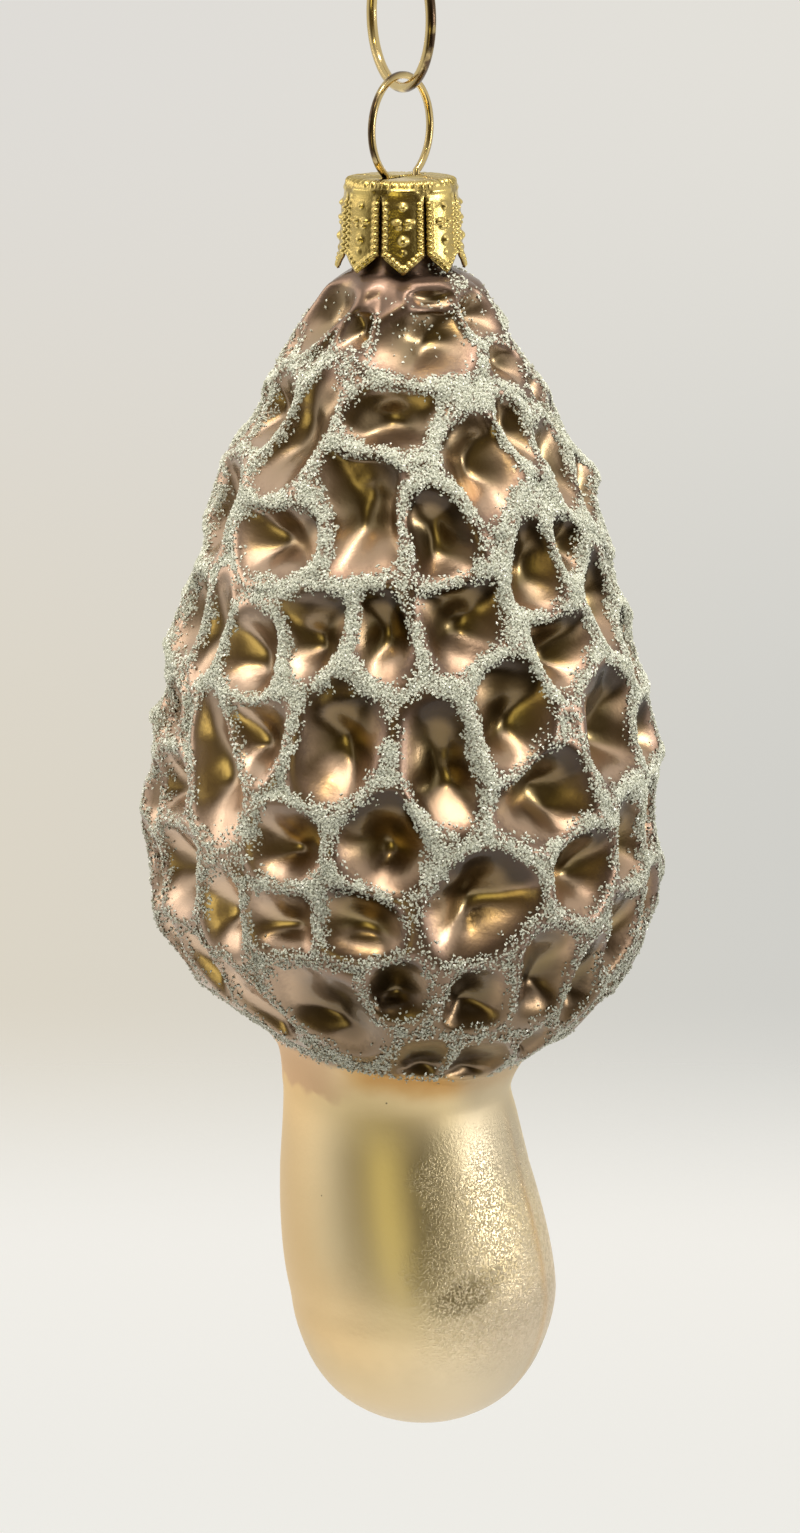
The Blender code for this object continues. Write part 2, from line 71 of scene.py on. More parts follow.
SKIRT_DROP = 4.2
SKIRT_DROP_ANGLE = 35.0
SKIRT_DROP_SHARE = ((94, 0), (110, 1), (114, 0.8), (122, 0))
NECK_TO_HEAD = (32, 36)
KNOBS = ((90, -82.4, 1.0, 2.2), (90, -96.3, 0.8, 2.2), (-90, -90.0, 0.8, 3.5), (-88, -71.7, 0.8, 3.0),
         (-90, -80.3, 0.6, 2.5), (86, -55.0, 0.9, 3.0), (80, -72.5, 0.5, 3.0), (-85, -101.5, 0.5, 2.5))

# Pits of the front, top to bottom: angle, height, width, length, lean and taper.
# Lean turns the top to the right. A pit with taper over 0 is wider at its top.
FRONT_PITS = (
    (22, -35.3, 4.5, 2.2, 0, 0.0), (-61, -37.2, 4.6, 8.0, 37, 0.0), (-26, -38.2, 3.2, 3.9, 0, 0.0),
    (13, -39.4, 10.2, 6.6, -25, 0.2), (54, -37.2, 4.6, 5.0, -10, 0.0), (57, -42.0, 5.0, 4.0, 20, 0.0),
    (-65, -47.0, 6.6, 7.6, 35, 0.0), (-42, -48.5, 6.2, 12.0, 22, -0.2), (-4, -46.8, 11.2, 6.4, -8, 0.0),
    (27, -50.9, 8.2, 9.8, 0, 0.3), (46, -48.0, 4.4, 7.0, -35, 0.0), (63, -52.4, 5.6, 9.0, -10, 0.0),
    (-74, -57.0, 8.0, 10.0, 5, 0.0), (-39, -58.8, 9.4, 7.0, 0, 0.2), (-13, -54.9, 8.8, 13.6, -20, -0.1),
    (10, -58.3, 6.6, 10.0, -25, 0.0), (39, -61.5, 5.8, 10.0, 5, -0.3), (55, -60.0, 4.6, 6.0, 0, 0.0),
    (65, -66.0, 6.0, 9.4, -12, 0.0), (16, -66.6, 7.8, 10.2, 10, 0.25), (-72, -68.0, 7.0, 8.0, 12, 0.0),
    (-57, -68.5, 3.4, 9.8, 8, 0.0), (-41, -70.3, 7.2, 8.6, 12, 0.1), (-24, -68.0, 6.6, 8.4, 0, 0.3),
    (-6, -67.5, 5.6, 8.8, -10, 0.0), (-71, -78.0, 5.0, 6.0, 0, 0.0), (-48, -81.6, 5.6, 14.2, -16, -0.2),
    (-37, -78.4, 6.6, 8.2, -5, 0.3), (-15, -78.2, 7.3, 12.0, 8, 0.1), (-67, -85.5, 7.6, 7.4, 0, 0.0),
    (-27, -88.9, 7.6, 7.0, 0, 0.1), (-4, -88.4, 9.2, 9.8, -10, 0.1), (43, -69.9, 7.4, 8.6, 10, 0.5),
    (58, -78.4, 8.8, 11.4, -8, 0.0), (27, -76.2, 7.6, 11.8, 0, 0.3), (9, -80.5, 7.8, 12.2, -8, 0.0),
    (35, -84.0, 10.2, 9.6, 15, -0.45), (62, -90.7, 5.6, 9.0, 0, 0.0), (44, -92.0, 7.4, 8.4, 15, 0.2),
    (17, -93.8, 10.4, 8.0, -22, -0.2), (-63, -93.5, 8.6, 8.4, 0, 0.2), (-45, -96.0, 5.4, 7.8, -15, 0.0),
    (-27, -96.3, 7.0, 5.4, 0, 0.0), (-9, -95.9, 7.8, 5.8, 8, 0.0), (-20, -104.0, 10.0, 6.6, 22, 0.0),
    (-2, -101.8, 5.9, 5.8, 0, 0.0), (17, -102.4, 6.3, 5.6, 0, 0.0), (36, -100.9, 6.2, 7.8, 0, 0.1),
    (51, -102.4, 5.2, 7.0, 10, 0.0), (60, -98.8, 5.4, 6.4, 15, 0.4), (-56, -102.2, 3.8, 6.8, -30, 0.0),
    (-41, -105.0, 3.6, 7.0, -40, 0.0), (7, -108.9, 5.4, 3.9, 0, 0.0), (25, -109.5, 5.8, 4.2, 5, 0.0),
    (44, -107.4, 3.8, 3.6, 35, 0.0), (72, -107.0, 5.0, 3.4, 25, 0.0),
)

# Pits that notch the sides as they are seen from the front
SIDE_PITS = (
    (88, -41.5, 5.5, 5.5, 0, 0.0), (91, -49.3, 6.5, 6.0, 10, 0.0), (89, -58.0, 7.5, 6.4, -8, 0.1),
    (92, -65.2, 6.5, 5.4, 0, 0.0), (89, -72.6, 7.0, 6.4, 5, 0.0), (90, -89.3, 7.4, 8.6, -5, 0.0),
    (91, -102.0, 7.2, 5.6, 0, 0.0), (86, -107.4, 5.6, 3.4, 0, 0.0),
    (-86, -41.0, 5.0, 5.5, 10, 0.0), (-91, -49.0, 6.2, 6.2, -10, 0.0), (-90, -55.8, 5.8, 4.8, 0, 0.0),
    (-91, -62.8, 8.2, 7.2, 8, 0.0), (-88, -69.2, 5.4, 4.4, 0, 0.0), (-91, -75.6, 8.4, 7.0, 0, 0.1),
    (-90, -83.4, 5.6, 6.0, 0, 0.0), (-86, -93.0, 5.0, 6.0, 0, 0.0), (-91, -99.0, 6.0, 5.0, 0, 0.0),
    (-90, -105.3, 8.4, 7.4, 0, 0.1),
    (76, -46.5, 4.4, 6.4, -10, 0.0), (77, -55.0, 4.6, 7.0, 8, 0.0), (79, -63.5, 4.4, 6.6, -6, 0.0),
    (77, -71.6, 5.0, 7.4, 4, 0.0), (76, -80.6, 5.6, 8.0, -8, 0.0), (76, -89.6, 5.6, 8.0, 6, 0.0),
    (76, -98.0, 5.2, 6.6, 0, 0.0), (-79, -48.0, 3.6, 6.0, 8, 0.0), (-80, -78.5, 4.6, 7.0, -5, 0.0),
    (-79, -87.4, 5.0, 7.0, 6, 0.0), (-77, -95.0, 5.4, 7.4, 0, 0.0), (-72, -101.8, 5.6, 6.4, -8, 0.0),
)

# Pits of the sides and back, in rows that stagger: height, row by row
BACK_ROWS = (-39.0, -45.5, -53.0, -61.5, -70.0, -78.5, -87.0, -95.5, -103.0, -108.6)
BACK_FROM, BACK_TO = 98.0, 261.0
BACK_PITCH = 8.8
BACK_SEED = 11

PIT_SPREAD = 1.05
PIT_DEPTH = 0.50
DEEPEST_PIT = 4.2
SHOULDER = 1.22
CORNER = 2.6
LOW_POINT = -0.35
LOW_SWAY = 0.22
LOW_LIMITS = (-0.75, 0.3)
RIDGE_RISE = 0.8
RIDGE_WIDTH = 0.3
FAR = 9.0
MEETING, MEETING_WIDTH = 0.06, 0.34

# Unevenness of the blown wall, and the drops between which the head has it
HEAD_BEGINS, HEAD_ENDS = (33, 37), (108, 112)
STRAY, STRAY_SIZE = 0.7, 5.0
PIT_EDGE = (0.75, 1.05)
COARSE_FOLDS, COARSE_FOLD_SIZE = 0.45, 4.2
FINE_FOLDS, FINE_FOLD_SIZE = 0.14, 2.0
FOLDS_ON_RIDGES = 0.25

SEAM_ANGLE = math.radians(66)
SEAM_WIDTH = 0.7
SEAM_RISE = 0.08
SEAM_BEGINS = (119, 124)

SKIN_STEPS = 320
SKIN_ROW = 0.42
STEM_ROW = 1.1
PITTED_HEIGHTS = (-114, -33)
UNDER_PITS = 5.6
INNER_STEPS = 64
INNER_ROW = 3.0
INNER_NECK_RADIUS = NECK_RADIUS - WALL - 0.5
INNER_FLOOR = -154
SIDE_MARGIN = 0.15

# ---------------------------------------------------------------- frost

FROST_PIECES = 5
SHARDS_A_PIECE = 25500
SHARD_LENGTH = 0.38
SHARD_WIDTH = 0.13
SHARD_SIZES = (0.6, 1.35)
SHARD_HEIGHTS = (-0.05, 0.14)
SHARD_LIFT = 0.45
FROST_SEED = 5

# Soft steps of the frost in reach, which is 1 on a pit's rim, in lean, and in drops
CREST = (-0.55, -0.19)
OUT_OF_PIT = (0.84, 1.02)
TIGHT_EDGE = (1.16, 1.42)
LOOSE_EDGE = (0.9, 1.26)
FACING_UP = (0.15, 0.55)
FACING_DOWN = (0.25, 0.6)
FROST_BEGINS = (36, 46)
FROST_ENDS = (111.0, 112.5)
SPRINKLE_BEGINS = (34, 36)
FROST_RIGHT_DEG = (-15, 40)
WORN_LEFT_DEG, WORN_LEFT_DROPS = (30, 58), (70, 90)
WORN_LOW_DROPS = (90, 104)
GRAIN_DARKER_DROPS = (82, 106)

# ---------------------------------------------------------------- crown, ring and loop

CROWN_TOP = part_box("crown_cap")[1].z / MM
CROWN_HEIGHT = 9.55
SHEET = 0.3
CROWN_PROFILE = ((0.0, 0.0), (4.4, 0.05), (5.35, 0.3), (5.85, 1.0), (6.2, CROWN_HEIGHT))
TABS = 8
TAB_TURN = 2.0
SLIT_HALF_DEG = 0.9
SLIT_TOP = 1.6
POINT_HEIGHT = 1.9
SLOT = (7.4, 1.5)
SLOT_REACH = (4.6, 1.0)
CROWN_ROWS = 150
CROWN_COLUMNS = 36
TOP_STEP = 0.2
SIDE_STEPS = 60
TAB_MARK = 10
CROWN_SINK = 0.1
POINT_TAPER = 0.97
CROWN_MIDRADIUS = 6.0
PANEL_RISE = 0.22
TOP_DISH = 0.1
KNURL_RISE, KNURL_DROP, KNURL_WIDTH = 0.34, 0.45, 0.35
STEP_RISE, STEP_DROP, STEP_WIDTH = 0.2, 1.25, 0.25
SHOULDER_DROP = 1.4
TAB_FLARE = (0.15, 0.06, 0.21, 0.09, 0.18, 0.06, 0.18, 0.21)

# Beads of a tab. Those of its edges and its point run in rows: place across, rise and radius.
EDGE_BEADS, EDGE_PITCH = 10, 0.64
EDGE_BEAD = (1.84, 0.38, 0.29)
POINT_BEADS, POINT_STEP = 4, (0.42, 0.38)
POINT_BEAD = (1.86, 0.26, 0.26)
# The others stand alone: place across, drop, rise, radius across and radius down
LONE_BEADS = ((-0.62, 4.2, 0.32, 0.42, 0.26), (0.62, 4.2, 0.32, 0.42, 0.26), (-0.42, 4.75, 0.2, 0.3, 0.2),
              (0.42, 4.75, 0.2, 0.3, 0.2), (0.0, CROWN_HEIGHT - 0.45, 0.28, 0.3, 0.3),
              (0.0, 2.6, 0.34, 0.34, 0.34), (0.0, 6.1, 0.36, 0.42, 0.42), (0.0, 7.3, 0.14, 0.3, 0.3))

RING_RADIUS = 7.3
RING_WIRE = 0.55
RING_ACROSS = Vector((0.416, -0.909, 0.0)).normalized()
RING_CENTRE = (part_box("hanging_ring")[0].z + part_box("hanging_ring")[1].z) / 2 / MM
RING_SIDES = 18
RING_STEPS = 160
LOOP_RADIUS = 5.45
LOOP_WIRE = 0.4
LOOP_ACROSS = Vector((-0.550, -0.835, 0.0)).normalized()
LOOP_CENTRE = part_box("wire_loop")[1].z / MM - LOOP_WIRE - LOOP_RADIUS
LOOP_ENTRY = 2.9
LOOP_STEPS = 90
LEG = ((5.3, -46.6), (5.6, -44.5), (4.2, -38.5), (2.85, -33.0), (2.85, -28.0), (2.8, -24.9))
LEG_SPACING = 0.8
DARK_BAND_EDGE = (0.35, 0.85)


# ---------------------------------------------------------------- small helpers

def keep(name, data, body, replaced=None):
    """Adds a finished piece that rides on a body, and hides the solid part that it replaces, if any."""
    piece = bpy.data.objects.new(name, data)
    bpy.context.scene.collection.objects.link(piece)
    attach(piece, body)
    if replaced:
        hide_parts(replaced)
    return piece


def mesh_from(shape, name, smooth=True):
    mesh = bpy.data.meshes.new(name)
    shape.to_mesh(mesh)
    shape.free()
    if smooth:
        mesh.shade_smooth()
    return mesh


def smooth_line(points, spacing):
    """Points at about an even spacing on a smooth curve through the given ones.

    spacing is a distance, or a function that gives it at a point.
    """
    ends = [2 * Vector(points[0]) - Vector(points[1])]
    ends += [Vector(p) for p in points]
    ends += [2 * Vector(points[-1]) - Vector(points[-2])]
    line = []
    for before, start, end, after in zip(ends, ends[1:], ends[2:], ends[3:]):
        gap = spacing(start) if callable(spacing) else spacing
        count = max(2, round((end - start).length / gap))
        for i in range(count):
            t = i / count
            line.append(0.5 * (2 * start + (end - before) * t
                               + (2 * before - 5 * start + 4 * end - after) * t ** 2
                               + (3 * start - before - 3 * end + after) * t ** 3))
    line.append(ends[-2])
    return line


def coordinates(mesh):
    points = np.empty(len(mesh.vertices) * 3, np.float32)
    mesh.vertices.foreach_get("co", points)
    return points.reshape(-1, 3).astype(float) / MM


def set_coordinates(mesh, points):
    mesh.vertices.foreach_set("co", (points * MM).astype(np.float32).ravel())
    mesh.update()


def set_values(mesh, name, values, domain="POINT"):
    layer = mesh.attributes.new(name, "FLOAT", domain)
    layer.data.foreach_set("value", values.astype(np.float32))


def vertex_normals(mesh):
    normals = np.empty(len(mesh.vertices) * 3, np.float32)
    mesh.vertices.foreach_get("normal", normals)
    return normals.reshape(-1, 3)


def smooth_step(values, low, high):
    t = np.clip((values - low) / (high - low), 0, 1)
    return t * t * (3 - 2 * t)


# ---------------------------------------------------------------- form of the glass

def radius_at(height):
    """Radius of the unpitted glass at a height."""
    heights = [-z for r, z in GLASS_OUTLINE]
    return np.interp(-height, heights, [r for r, z in GLASS_OUTLINE])


def back_pits():
    """Pits in staggered rows round the sides and back, each a little off its place."""
    draw = random.Random(BACK_SEED)
    pits = []
    for row, height in enumerate(BACK_ROWS):
        gap = abs(BACK_ROWS[min(row + 1, len(BACK_ROWS) - 1)] - BACK_ROWS[max(row - 1, 0)])
        gap /= min(row + 1, len(BACK_ROWS) - 1) - max(row - 1, 0)
        arc = math.radians(BACK_TO - BACK_FROM) * float(radius_at(height))
        count = max(4, round(arc / BACK_PITCH))
        pitch_deg = (BACK_TO - BACK_FROM) / count
        for i in range(count):
            angle = BACK_FROM + pitch_deg * (i + 0.3 + 0.4 * (row % 2) + draw.uniform(-0.2, 0.2))
            width = arc / count * draw.uniform(0.72, 1.02)
            length = gap * draw.uniform(0.85, 1.3)
            pits.append((angle, height + draw.uniform(-1.4, 1.4), width, length,
                         draw.uniform(-28, 28), draw.uniform(-0.35, 0.4)))
    return pits


PITS = list(FRONT_PITS) + list(SIDE_PITS) + back_pits()


def across_and_along(pit, angle, height, radius):
    """Where places lie in a pit, across it and up it, in halves of its width and length."""
    turn, middle, width, length, lean, taper = pit
    off = (angle - math.radians(turn) + math.pi) % (2 * math.pi) - math.pi
    aside = off * radius
    up = height - middle
    tilt = math.radians(lean)
    along = (up * math.cos(tilt) + aside * math.sin(tilt)) / (length / 2 * PIT_SPREAD)
    across = (aside * math.cos(tilt) - up * math.sin(tilt)) / (width / 2 * PIT_SPREAD)
    return across / (1 + taper * np.clip(along, -1, 1)), along


def pit_shape(along, reach, low):
    """Depth within one pit, from 0 to 1: a bowl with a crease across it where it is lowest."""
    fall = (np.clip(SHOULDER - along, 0, 3) / (SHOULDER - low)) ** 0.7
    rise = (np.clip(SHOULDER + along, 0, 3) / (SHOULDER + low)) ** 0.9
    valley = 0.5 * (fall + rise - np.sqrt((fall - rise) ** 2 + 0.01))
    bowl = 0.5 + 0.5 * np.cos(np.pi * np.clip(reach / SHOULDER, 0, 1))
    return bowl * np.clip(valley, 0, 1)


def relief(angle, height):
    """Three values at each place: the depth of the pits, with the ridges between them standing
    proud; how far it is out of the nearest pit, 0 in its middle and 1 on its rim; and how much
    farther out of the next one."""
    nearest = np.full(angle.shape, FAR)
    second = nearest.copy()
    depth = np.zeros(angle.shape)
    radius = radius_at(height)
    for number, pit in enumerate(PITS):
        across, along = across_and_along(pit, angle, height, radius)
        reach = (np.abs(across) ** CORNER + np.abs(along) ** CORNER) ** (1 / CORNER)
        low = np.clip(LOW_POINT + LOW_SWAY * math.sin(5.3 * number) * across, *LOW_LIMITS)
        deepest = min(PIT_DEPTH * min(pit[2:4]), DEEPEST_PIT)
        closer = reach < nearest
        second = np.where(closer, nearest, np.minimum(second, reach))
        nearest = np.where(closer, reach, nearest)
        depth = np.where(closer, deepest * pit_shape(along, reach, low), depth)
    apart = np.clip((second - nearest - MEETING) / MEETING_WIDTH, 0, 1)
    ridge = RIDGE_RISE * np.exp(-((nearest - SHOULDER) / RIDGE_WIDTH) ** 2)
    reach = np.minimum(nearest + (1 - apart) * 0.4, 2)
    return depth * apart * apart * (3 - 2 * apart) - ridge, reach, second - nearest


def knob_rise(angle, height):
    """Height of the few lumps that stand out of the head's sides."""
    rise = np.zeros(angle.shape)
    for turn, middle, tall, reach in KNOBS:
        off = (angle - math.radians(turn) + math.pi) % (2 * math.pi) - math.pi
        away = (off * radius_at(height)) ** 2 + (height - middle) ** 2
        rise += tall * np.exp(-away / reach ** 2)
    return rise


def bend(points):
    """Sets the turned glass a little off round: the skirt drops at the front, the stem leans."""
    angle = np.arctan2(points[:, 0], -points[:, 1])
    height = points[:, 2].copy()
    share = np.interp(-height, [z for z, part in SKIRT_DROP_SHARE], [part for z, part in SKIRT_DROP_SHARE])
    turn = angle - math.radians(SKIRT_DROP_ANGLE)
    points[:, 2] -= SKIRT_DROP * share * (1 + np.cos(turn)) / 2
    middle = np.interp(-height, NECK_TO_HEAD, (0, HEAD_MIDDLE))
    stem_heights = [-z for z, x in STEM_MIDDLE]
    on_stem = height < STEM_MIDDLE[0][0]
    middle = np.where(on_stem, np.interp(-height, stem_heights, [x for z, x in STEM_MIDDLE]), middle)
    points[:, 0] += middle


def wobble(points, size, seed):
    """A soft unevenness, between about -1 and 1, with lumps of a size."""
    shift = Vector((seed * 7.3, seed * 3.1, seed * 5.7))
    return np.array([noise.noise(Vector(p) / size + shift) for p in points])


def spun(outline, steps, name):
    """The surface that an outline of (radius, height) points makes round Z."""
    shape = bmesh.new()
    verts = [shape.verts.new((r * MM, 0.0, z * MM)) for r, z in outline]
    edges = [shape.edges.new((a, b)) for a, b in zip(verts, verts[1:])]
    bmesh.ops.spin(shape, geom=verts + edges, cent=(0, 0, 0), axis=(0, 0, 1), angle=2 * math.pi,
                   steps=steps, use_merge=True, use_normal_flip=False, use_duplicate=False)
    bmesh.ops.remove_doubles(shape, verts=shape.verts, dist=0.002 * MM)
    bmesh.ops.recalc_face_normals(shape, faces=shape.faces)
    mesh = bpy.data.meshes.new(name)
    shape.to_mesh(mesh)
    shape.free()
    return mesh


def row_spacing(place):
    """Close rows where the pits are, and wider ones on the neck and stem."""
    low, high = PITTED_HEIGHTS
    return SKIN_ROW if low <= place.y <= high else STEM_ROW


def inner_outline():
    """The inside of the glass, kept clear of the deepest pits, from the lip down."""
    line = smooth_line(GLASS_OUTLINE, INNER_ROW)
    moved = [(NECK_RADIUS - WALL, NECK_LIP)]
    for before, here, after in zip(line, line[1:], line[2:]):
        along = (after - before).normalized()
        moved.append((here[0] + along[1] * UNDER_PITS, here[1] - along[0] * WALL))
    moved = [(max(r, INNER_NECK_RADIUS) if z > INNER_FLOOR else r, z) for r, z in moved]
    moved.append((0.0, GLASS_OUTLINE[-1][1] + WALL))
    return moved


def press(mesh):
    """Presses the pits into the turned outer wall, and keeps what the finish needs to know."""
    points = coordinates(mesh)
    upright = vertex_normals(mesh)[:, 2]
    angle = np.arctan2(points[:, 0], -points[:, 1])
    height = points[:, 2].copy()
    radius = np.hypot(points[:, 0], points[:, 1])
    on_head = smooth_step(-height, *HEAD_BEGINS) * (1 - smooth_step(-height, *HEAD_ENDS))
    stray = STRAY * on_head
    aside = wobble(points, STRAY_SIZE, 4) * stray / np.maximum(radius, 4)
    depth, reach, gap = relief(angle + aside, height + wobble(points, STRAY_SIZE, 5) * stray)
    in_pit = 1 - smooth_step(reach, *PIT_EDGE)
    folds = COARSE_FOLDS * wobble(points, COARSE_FOLD_SIZE, 1)
    folds = folds + FINE_FOLDS * wobble(points, FINE_FOLD_SIZE, 6)
    folds = folds * on_head * (FOLDS_ON_RIDGES + (1 - FOLDS_ON_RIDGES) * in_pit)
    depth = depth - knob_rise(angle, height) + folds
    beside_seam = points[:, 0] * math.cos(SEAM_ANGLE) + points[:, 1] * math.sin(SEAM_ANGLE)
    seam = np.exp(-(beside_seam / SEAM_WIDTH) ** 2) * smooth_step(-height, *SEAM_BEGINS)
    depth -= SEAM_RISE * seam
    scale = np.where(radius > 0.01, np.maximum(radius - depth, 0) / np.maximum(radius, 0.01), 1)
    points[:, 0] *= scale
    points[:, 1] *= scale
    straight = points.copy()
    bend(points)
    set_coordinates(mesh, inside_solid(points, SIDE_MARGIN))
    lean = vertex_normals(mesh)[:, 2] - upright
    set_values(mesh, "seam", seam)
    set_values(mesh, "lean", lean)
    set_values(mesh, "reach", reach)
    set_values(mesh, "frost", frost_share(angle, height, reach, gap, lean, straight))
    set_values(mesh, "drop", -height)


def inside_solid(points, margin=0.0):
    """Keeps points in millimetres within the sides of the solid glass's box."""
    low, high = (np.array(corner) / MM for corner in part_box("glass_body"))
    low[:2] += margin
    high[:2] -= margin
    return np.clip(points, low, high)


def frost_share(angle, height, reach, gap, lean, points):
    """How thickly the frost lies at each place, from 0 to 1.

    It lies on the ridges, runs thinly down over the pits' lower lips and keeps clear of the hollows
    under the ridges. It is thin at the top, worn on the lower left and patchy all over.
    """
    drop = -height
    right_deg = np.degrees(angle)
    wide = wobble(points, 7.0, 12) * 0.34
    ragged = wobble(points, 1.1, 2) * 0.15 + wobble(points, 5.0, 3) * 0.16
    crest = smooth_step(ragged + wide - gap, *CREST)
    crest = crest * smooth_step(reach + 0.4 * wide + 0.6 * ragged, *OUT_OF_PIT)
    tight = np.maximum(crest, smooth_step(reach + ragged + wide, *TIGHT_EDGE))
    loose = smooth_step(ragged + reach, *LOOSE_EDGE)
    share = tight + (loose - tight) * smooth_step(lean, *FACING_UP)
    share = share * (1 - 0.75 * smooth_step(-lean, *FACING_DOWN))
    right = smooth_step(right_deg, *FROST_RIGHT_DEG)
    top = smooth_step(drop + 3.5 * right + 4 * wobble(points, 3.0, 7), *FROST_BEGINS)
    sprinkle = (0.015 + 0.05 * right) * smooth_step(drop, *SPRINKLE_BEGINS)
    share = (share * top + sprinkle * (1 - top)) * (1 - smooth_step(drop, *FROST_ENDS))
    left = smooth_step(6 * wobble(points, 3.0, 14) - right_deg, *WORN_LEFT_DEG)
    left = left * smooth_step(drop, *WORN_LEFT_DROPS)
    thin = smooth_step(wobble(points, 6.0, 8) + 0.7 * wobble(points, 1.8, 9), 0.0, 0.75)
    low = smooth_step(drop, *WORN_LOW_DROPS)
    patchy = 0.3 + 0.7 * smooth_step(wobble(points, 1.3, 13), -0.6, 0.2)
    return share * patchy * (1 - 0.6 * left) * (1 - 0.78 * thin) * (1 - 0.6 * low)


def make_skin():
    outer = spun(smooth_line(GLASS_OUTLINE, row_spacing), SKIN_STEPS, "outer_wall")
    press(outer)
    inner = spun(inner_outline(), INNER_STEPS, "inner_wall")
    points = coordinates(inner)
    bend(points)
    set_coordinates(inner, points)
    body = bmesh.new()
    body.from_mesh(outer)
    outside = len(body.faces)
    body.from_mesh(inner)
    body.faces.ensure_lookup_table()
    bmesh.ops.reverse_faces(body, faces=body.faces[outside:])
    bmesh.ops.bridge_loops(body, edges=[e for e in body.edges if e.is_boundary])
    skin = keep("glass_skin", mesh_from(body, "glass_skin"), "ornament", "glass_body")
    skin.data.materials.append(lacquered_glass())
    return skin


# ---------------------------------------------------------------- frost grains

def shard_mesh(count):
    """count slivers in one mesh, all the same and all at the origin."""
    shape = bmesh.new()
    bmesh.ops.create_cone(shape, cap_ends=False, segments=3, radius1=0.5, radius2=0.0, depth=0.5,
                          matrix=Matrix.Translation((0, 0, 0.25)))
    bmesh.ops.create_cone(shape, cap_ends=False, segments=3, radius1=0.0, radius2=0.5, depth=0.5,
                          matrix=Matrix.Translation((0, 0, -0.25)))
    bmesh.ops.remove_doubles(shape, verts=shape.verts, dist=0.001)
    bmesh.ops.recalc_face_normals(shape, faces=shape.faces)
    one = bpy.data.meshes.new("shard")
    shape.to_mesh(one)
    shape.free()
    holder = bpy.data.objects.new("shard", one)
    bpy.context.scene.collection.objects.link(holder)
    row = holder.modifiers.new("copies", "ARRAY")
    row.count = count
    row.use_relative_offset = False
    graph = bpy.context.evaluated_depsgraph_get()
    many = bpy.data.meshes.new_from_object(holder.evaluated_get(graph), depsgraph=graph)
    bpy.data.objects.remove(holder)
    return many


def sorted_triangles(mesh):
    """Two triangles for each four-sided face, in the same order whatever order the faces are in."""
    loops = np.empty(len(mesh.loops), np.int32)
    mesh.loops.foreach_get("vertex_index", loops)
    starts = np.empty(len(mesh.polygons), np.int32)
    mesh.polygons.foreach_get("loop_start", starts)
    four = np.diff(np.append(starts, len(loops))) == 4
    turn = np.arange(4)
    quads = loops[starts[four][:, None] + turn]
    quads = np.take_along_axis(quads, (quads.argmin(axis=1)[:, None] + turn) % 4, axis=1)
    quads = quads[np.lexsort(quads.T[::-1])]
    return np.concatenate((quads[:, :3], quads[:, [0, 2, 3]]))


def random_turns(draw, normals, lift):
    """Three axes for each sliver. Its long axis, the third, lies near the surface, lifted a little."""
    count = len(normals)
    along = draw.normal(size=(count, 3))
    along -= normals * np.sum(along * normals, axis=1, keepdims=True) * (1 - lift)
    along /= np.linalg.norm(along, axis=1, keepdims=True)
    other = np.cross(along, draw.normal(size=(count, 3)))
    other /= np.linalg.norm(other, axis=1, keepdims=True)
    return np.stack((other, np.cross(along, other), along), axis=2)


def make_frost(skin):
    """Slivers sprinkled over the ridges, thicker where the frost attribute is high."""
    mesh = skin.data
    corners = sorted_triangles(mesh)
    points = coordinates(mesh)
    frost = np.empty(len(mesh.vertices), np.float32)
    mesh.attributes["frost"].data.foreach_get("value", frost)
    normals = vertex_normals(mesh)
    a, b, c = (points[corners[:, i]] for i in range(3))
    area = np.linalg.norm(np.cross(b - a, c - a), axis=1) / 2
    weight = area * frost[corners].mean(axis=1)
    draw = np.random.default_rng(FROST_SEED)
    finish = frost_grains()
    for number in range(FROST_PIECES):
        chosen = draw.choice(len(corners), SHARDS_A_PIECE, p=weight / weight.sum())
        share = draw.dirichlet((1, 1, 1), SHARDS_A_PIECE)[:, :, None]
        place = (points[corners[chosen]] * share).sum(axis=1)
        normal = (normals[corners[chosen]] * share).sum(axis=1)
        normal /= np.linalg.norm(normal, axis=1, keepdims=True)
        size = draw.uniform(*SHARD_SIZES, (SHARDS_A_PIECE, 1, 1))
        turns = random_turns(draw, normal, SHARD_LIFT)
        place += normal * draw.uniform(*SHARD_HEIGHTS, (SHARDS_A_PIECE, 1))
        shards = shard_mesh(SHARDS_A_PIECE)
        local = coordinates(shards).reshape(SHARDS_A_PIECE, -1, 3) * MM
        local = local * np.array((SHARD_WIDTH * 2, SHARD_WIDTH * 2, SHARD_LENGTH)) * size
        world = np.einsum("nij,nkj->nki", turns, local) + place[:, None, :]
        set_coordinates(shards, inside_solid(world.reshape(-1, 3)))
        # painted light and shade: grains that face up are lighter and grains low on the head darker, on top
        # of a random tone
        lit_from_above = np.clip(0.5 + 0.5 * normal[:, 2], 0, 1) - 0.4 * smooth_step(-place[:, 2], *GRAIN_DARKER_DROPS)
        grain_tone_and_light = 0.06 + 0.38 * draw.uniform(0, 1, SHARDS_A_PIECE) + 0.5 * lit_from_above
        set_values(shards, "grain_tone_and_light", np.repeat(grain_tone_and_light, local.shape[1]))
        piece = keep(f"frost_{number + 1}", shards, "ornament")
        piece.data.materials.clear()
        piece.data.materials.append(finish)


# ---------------------------------------------------------------- crown

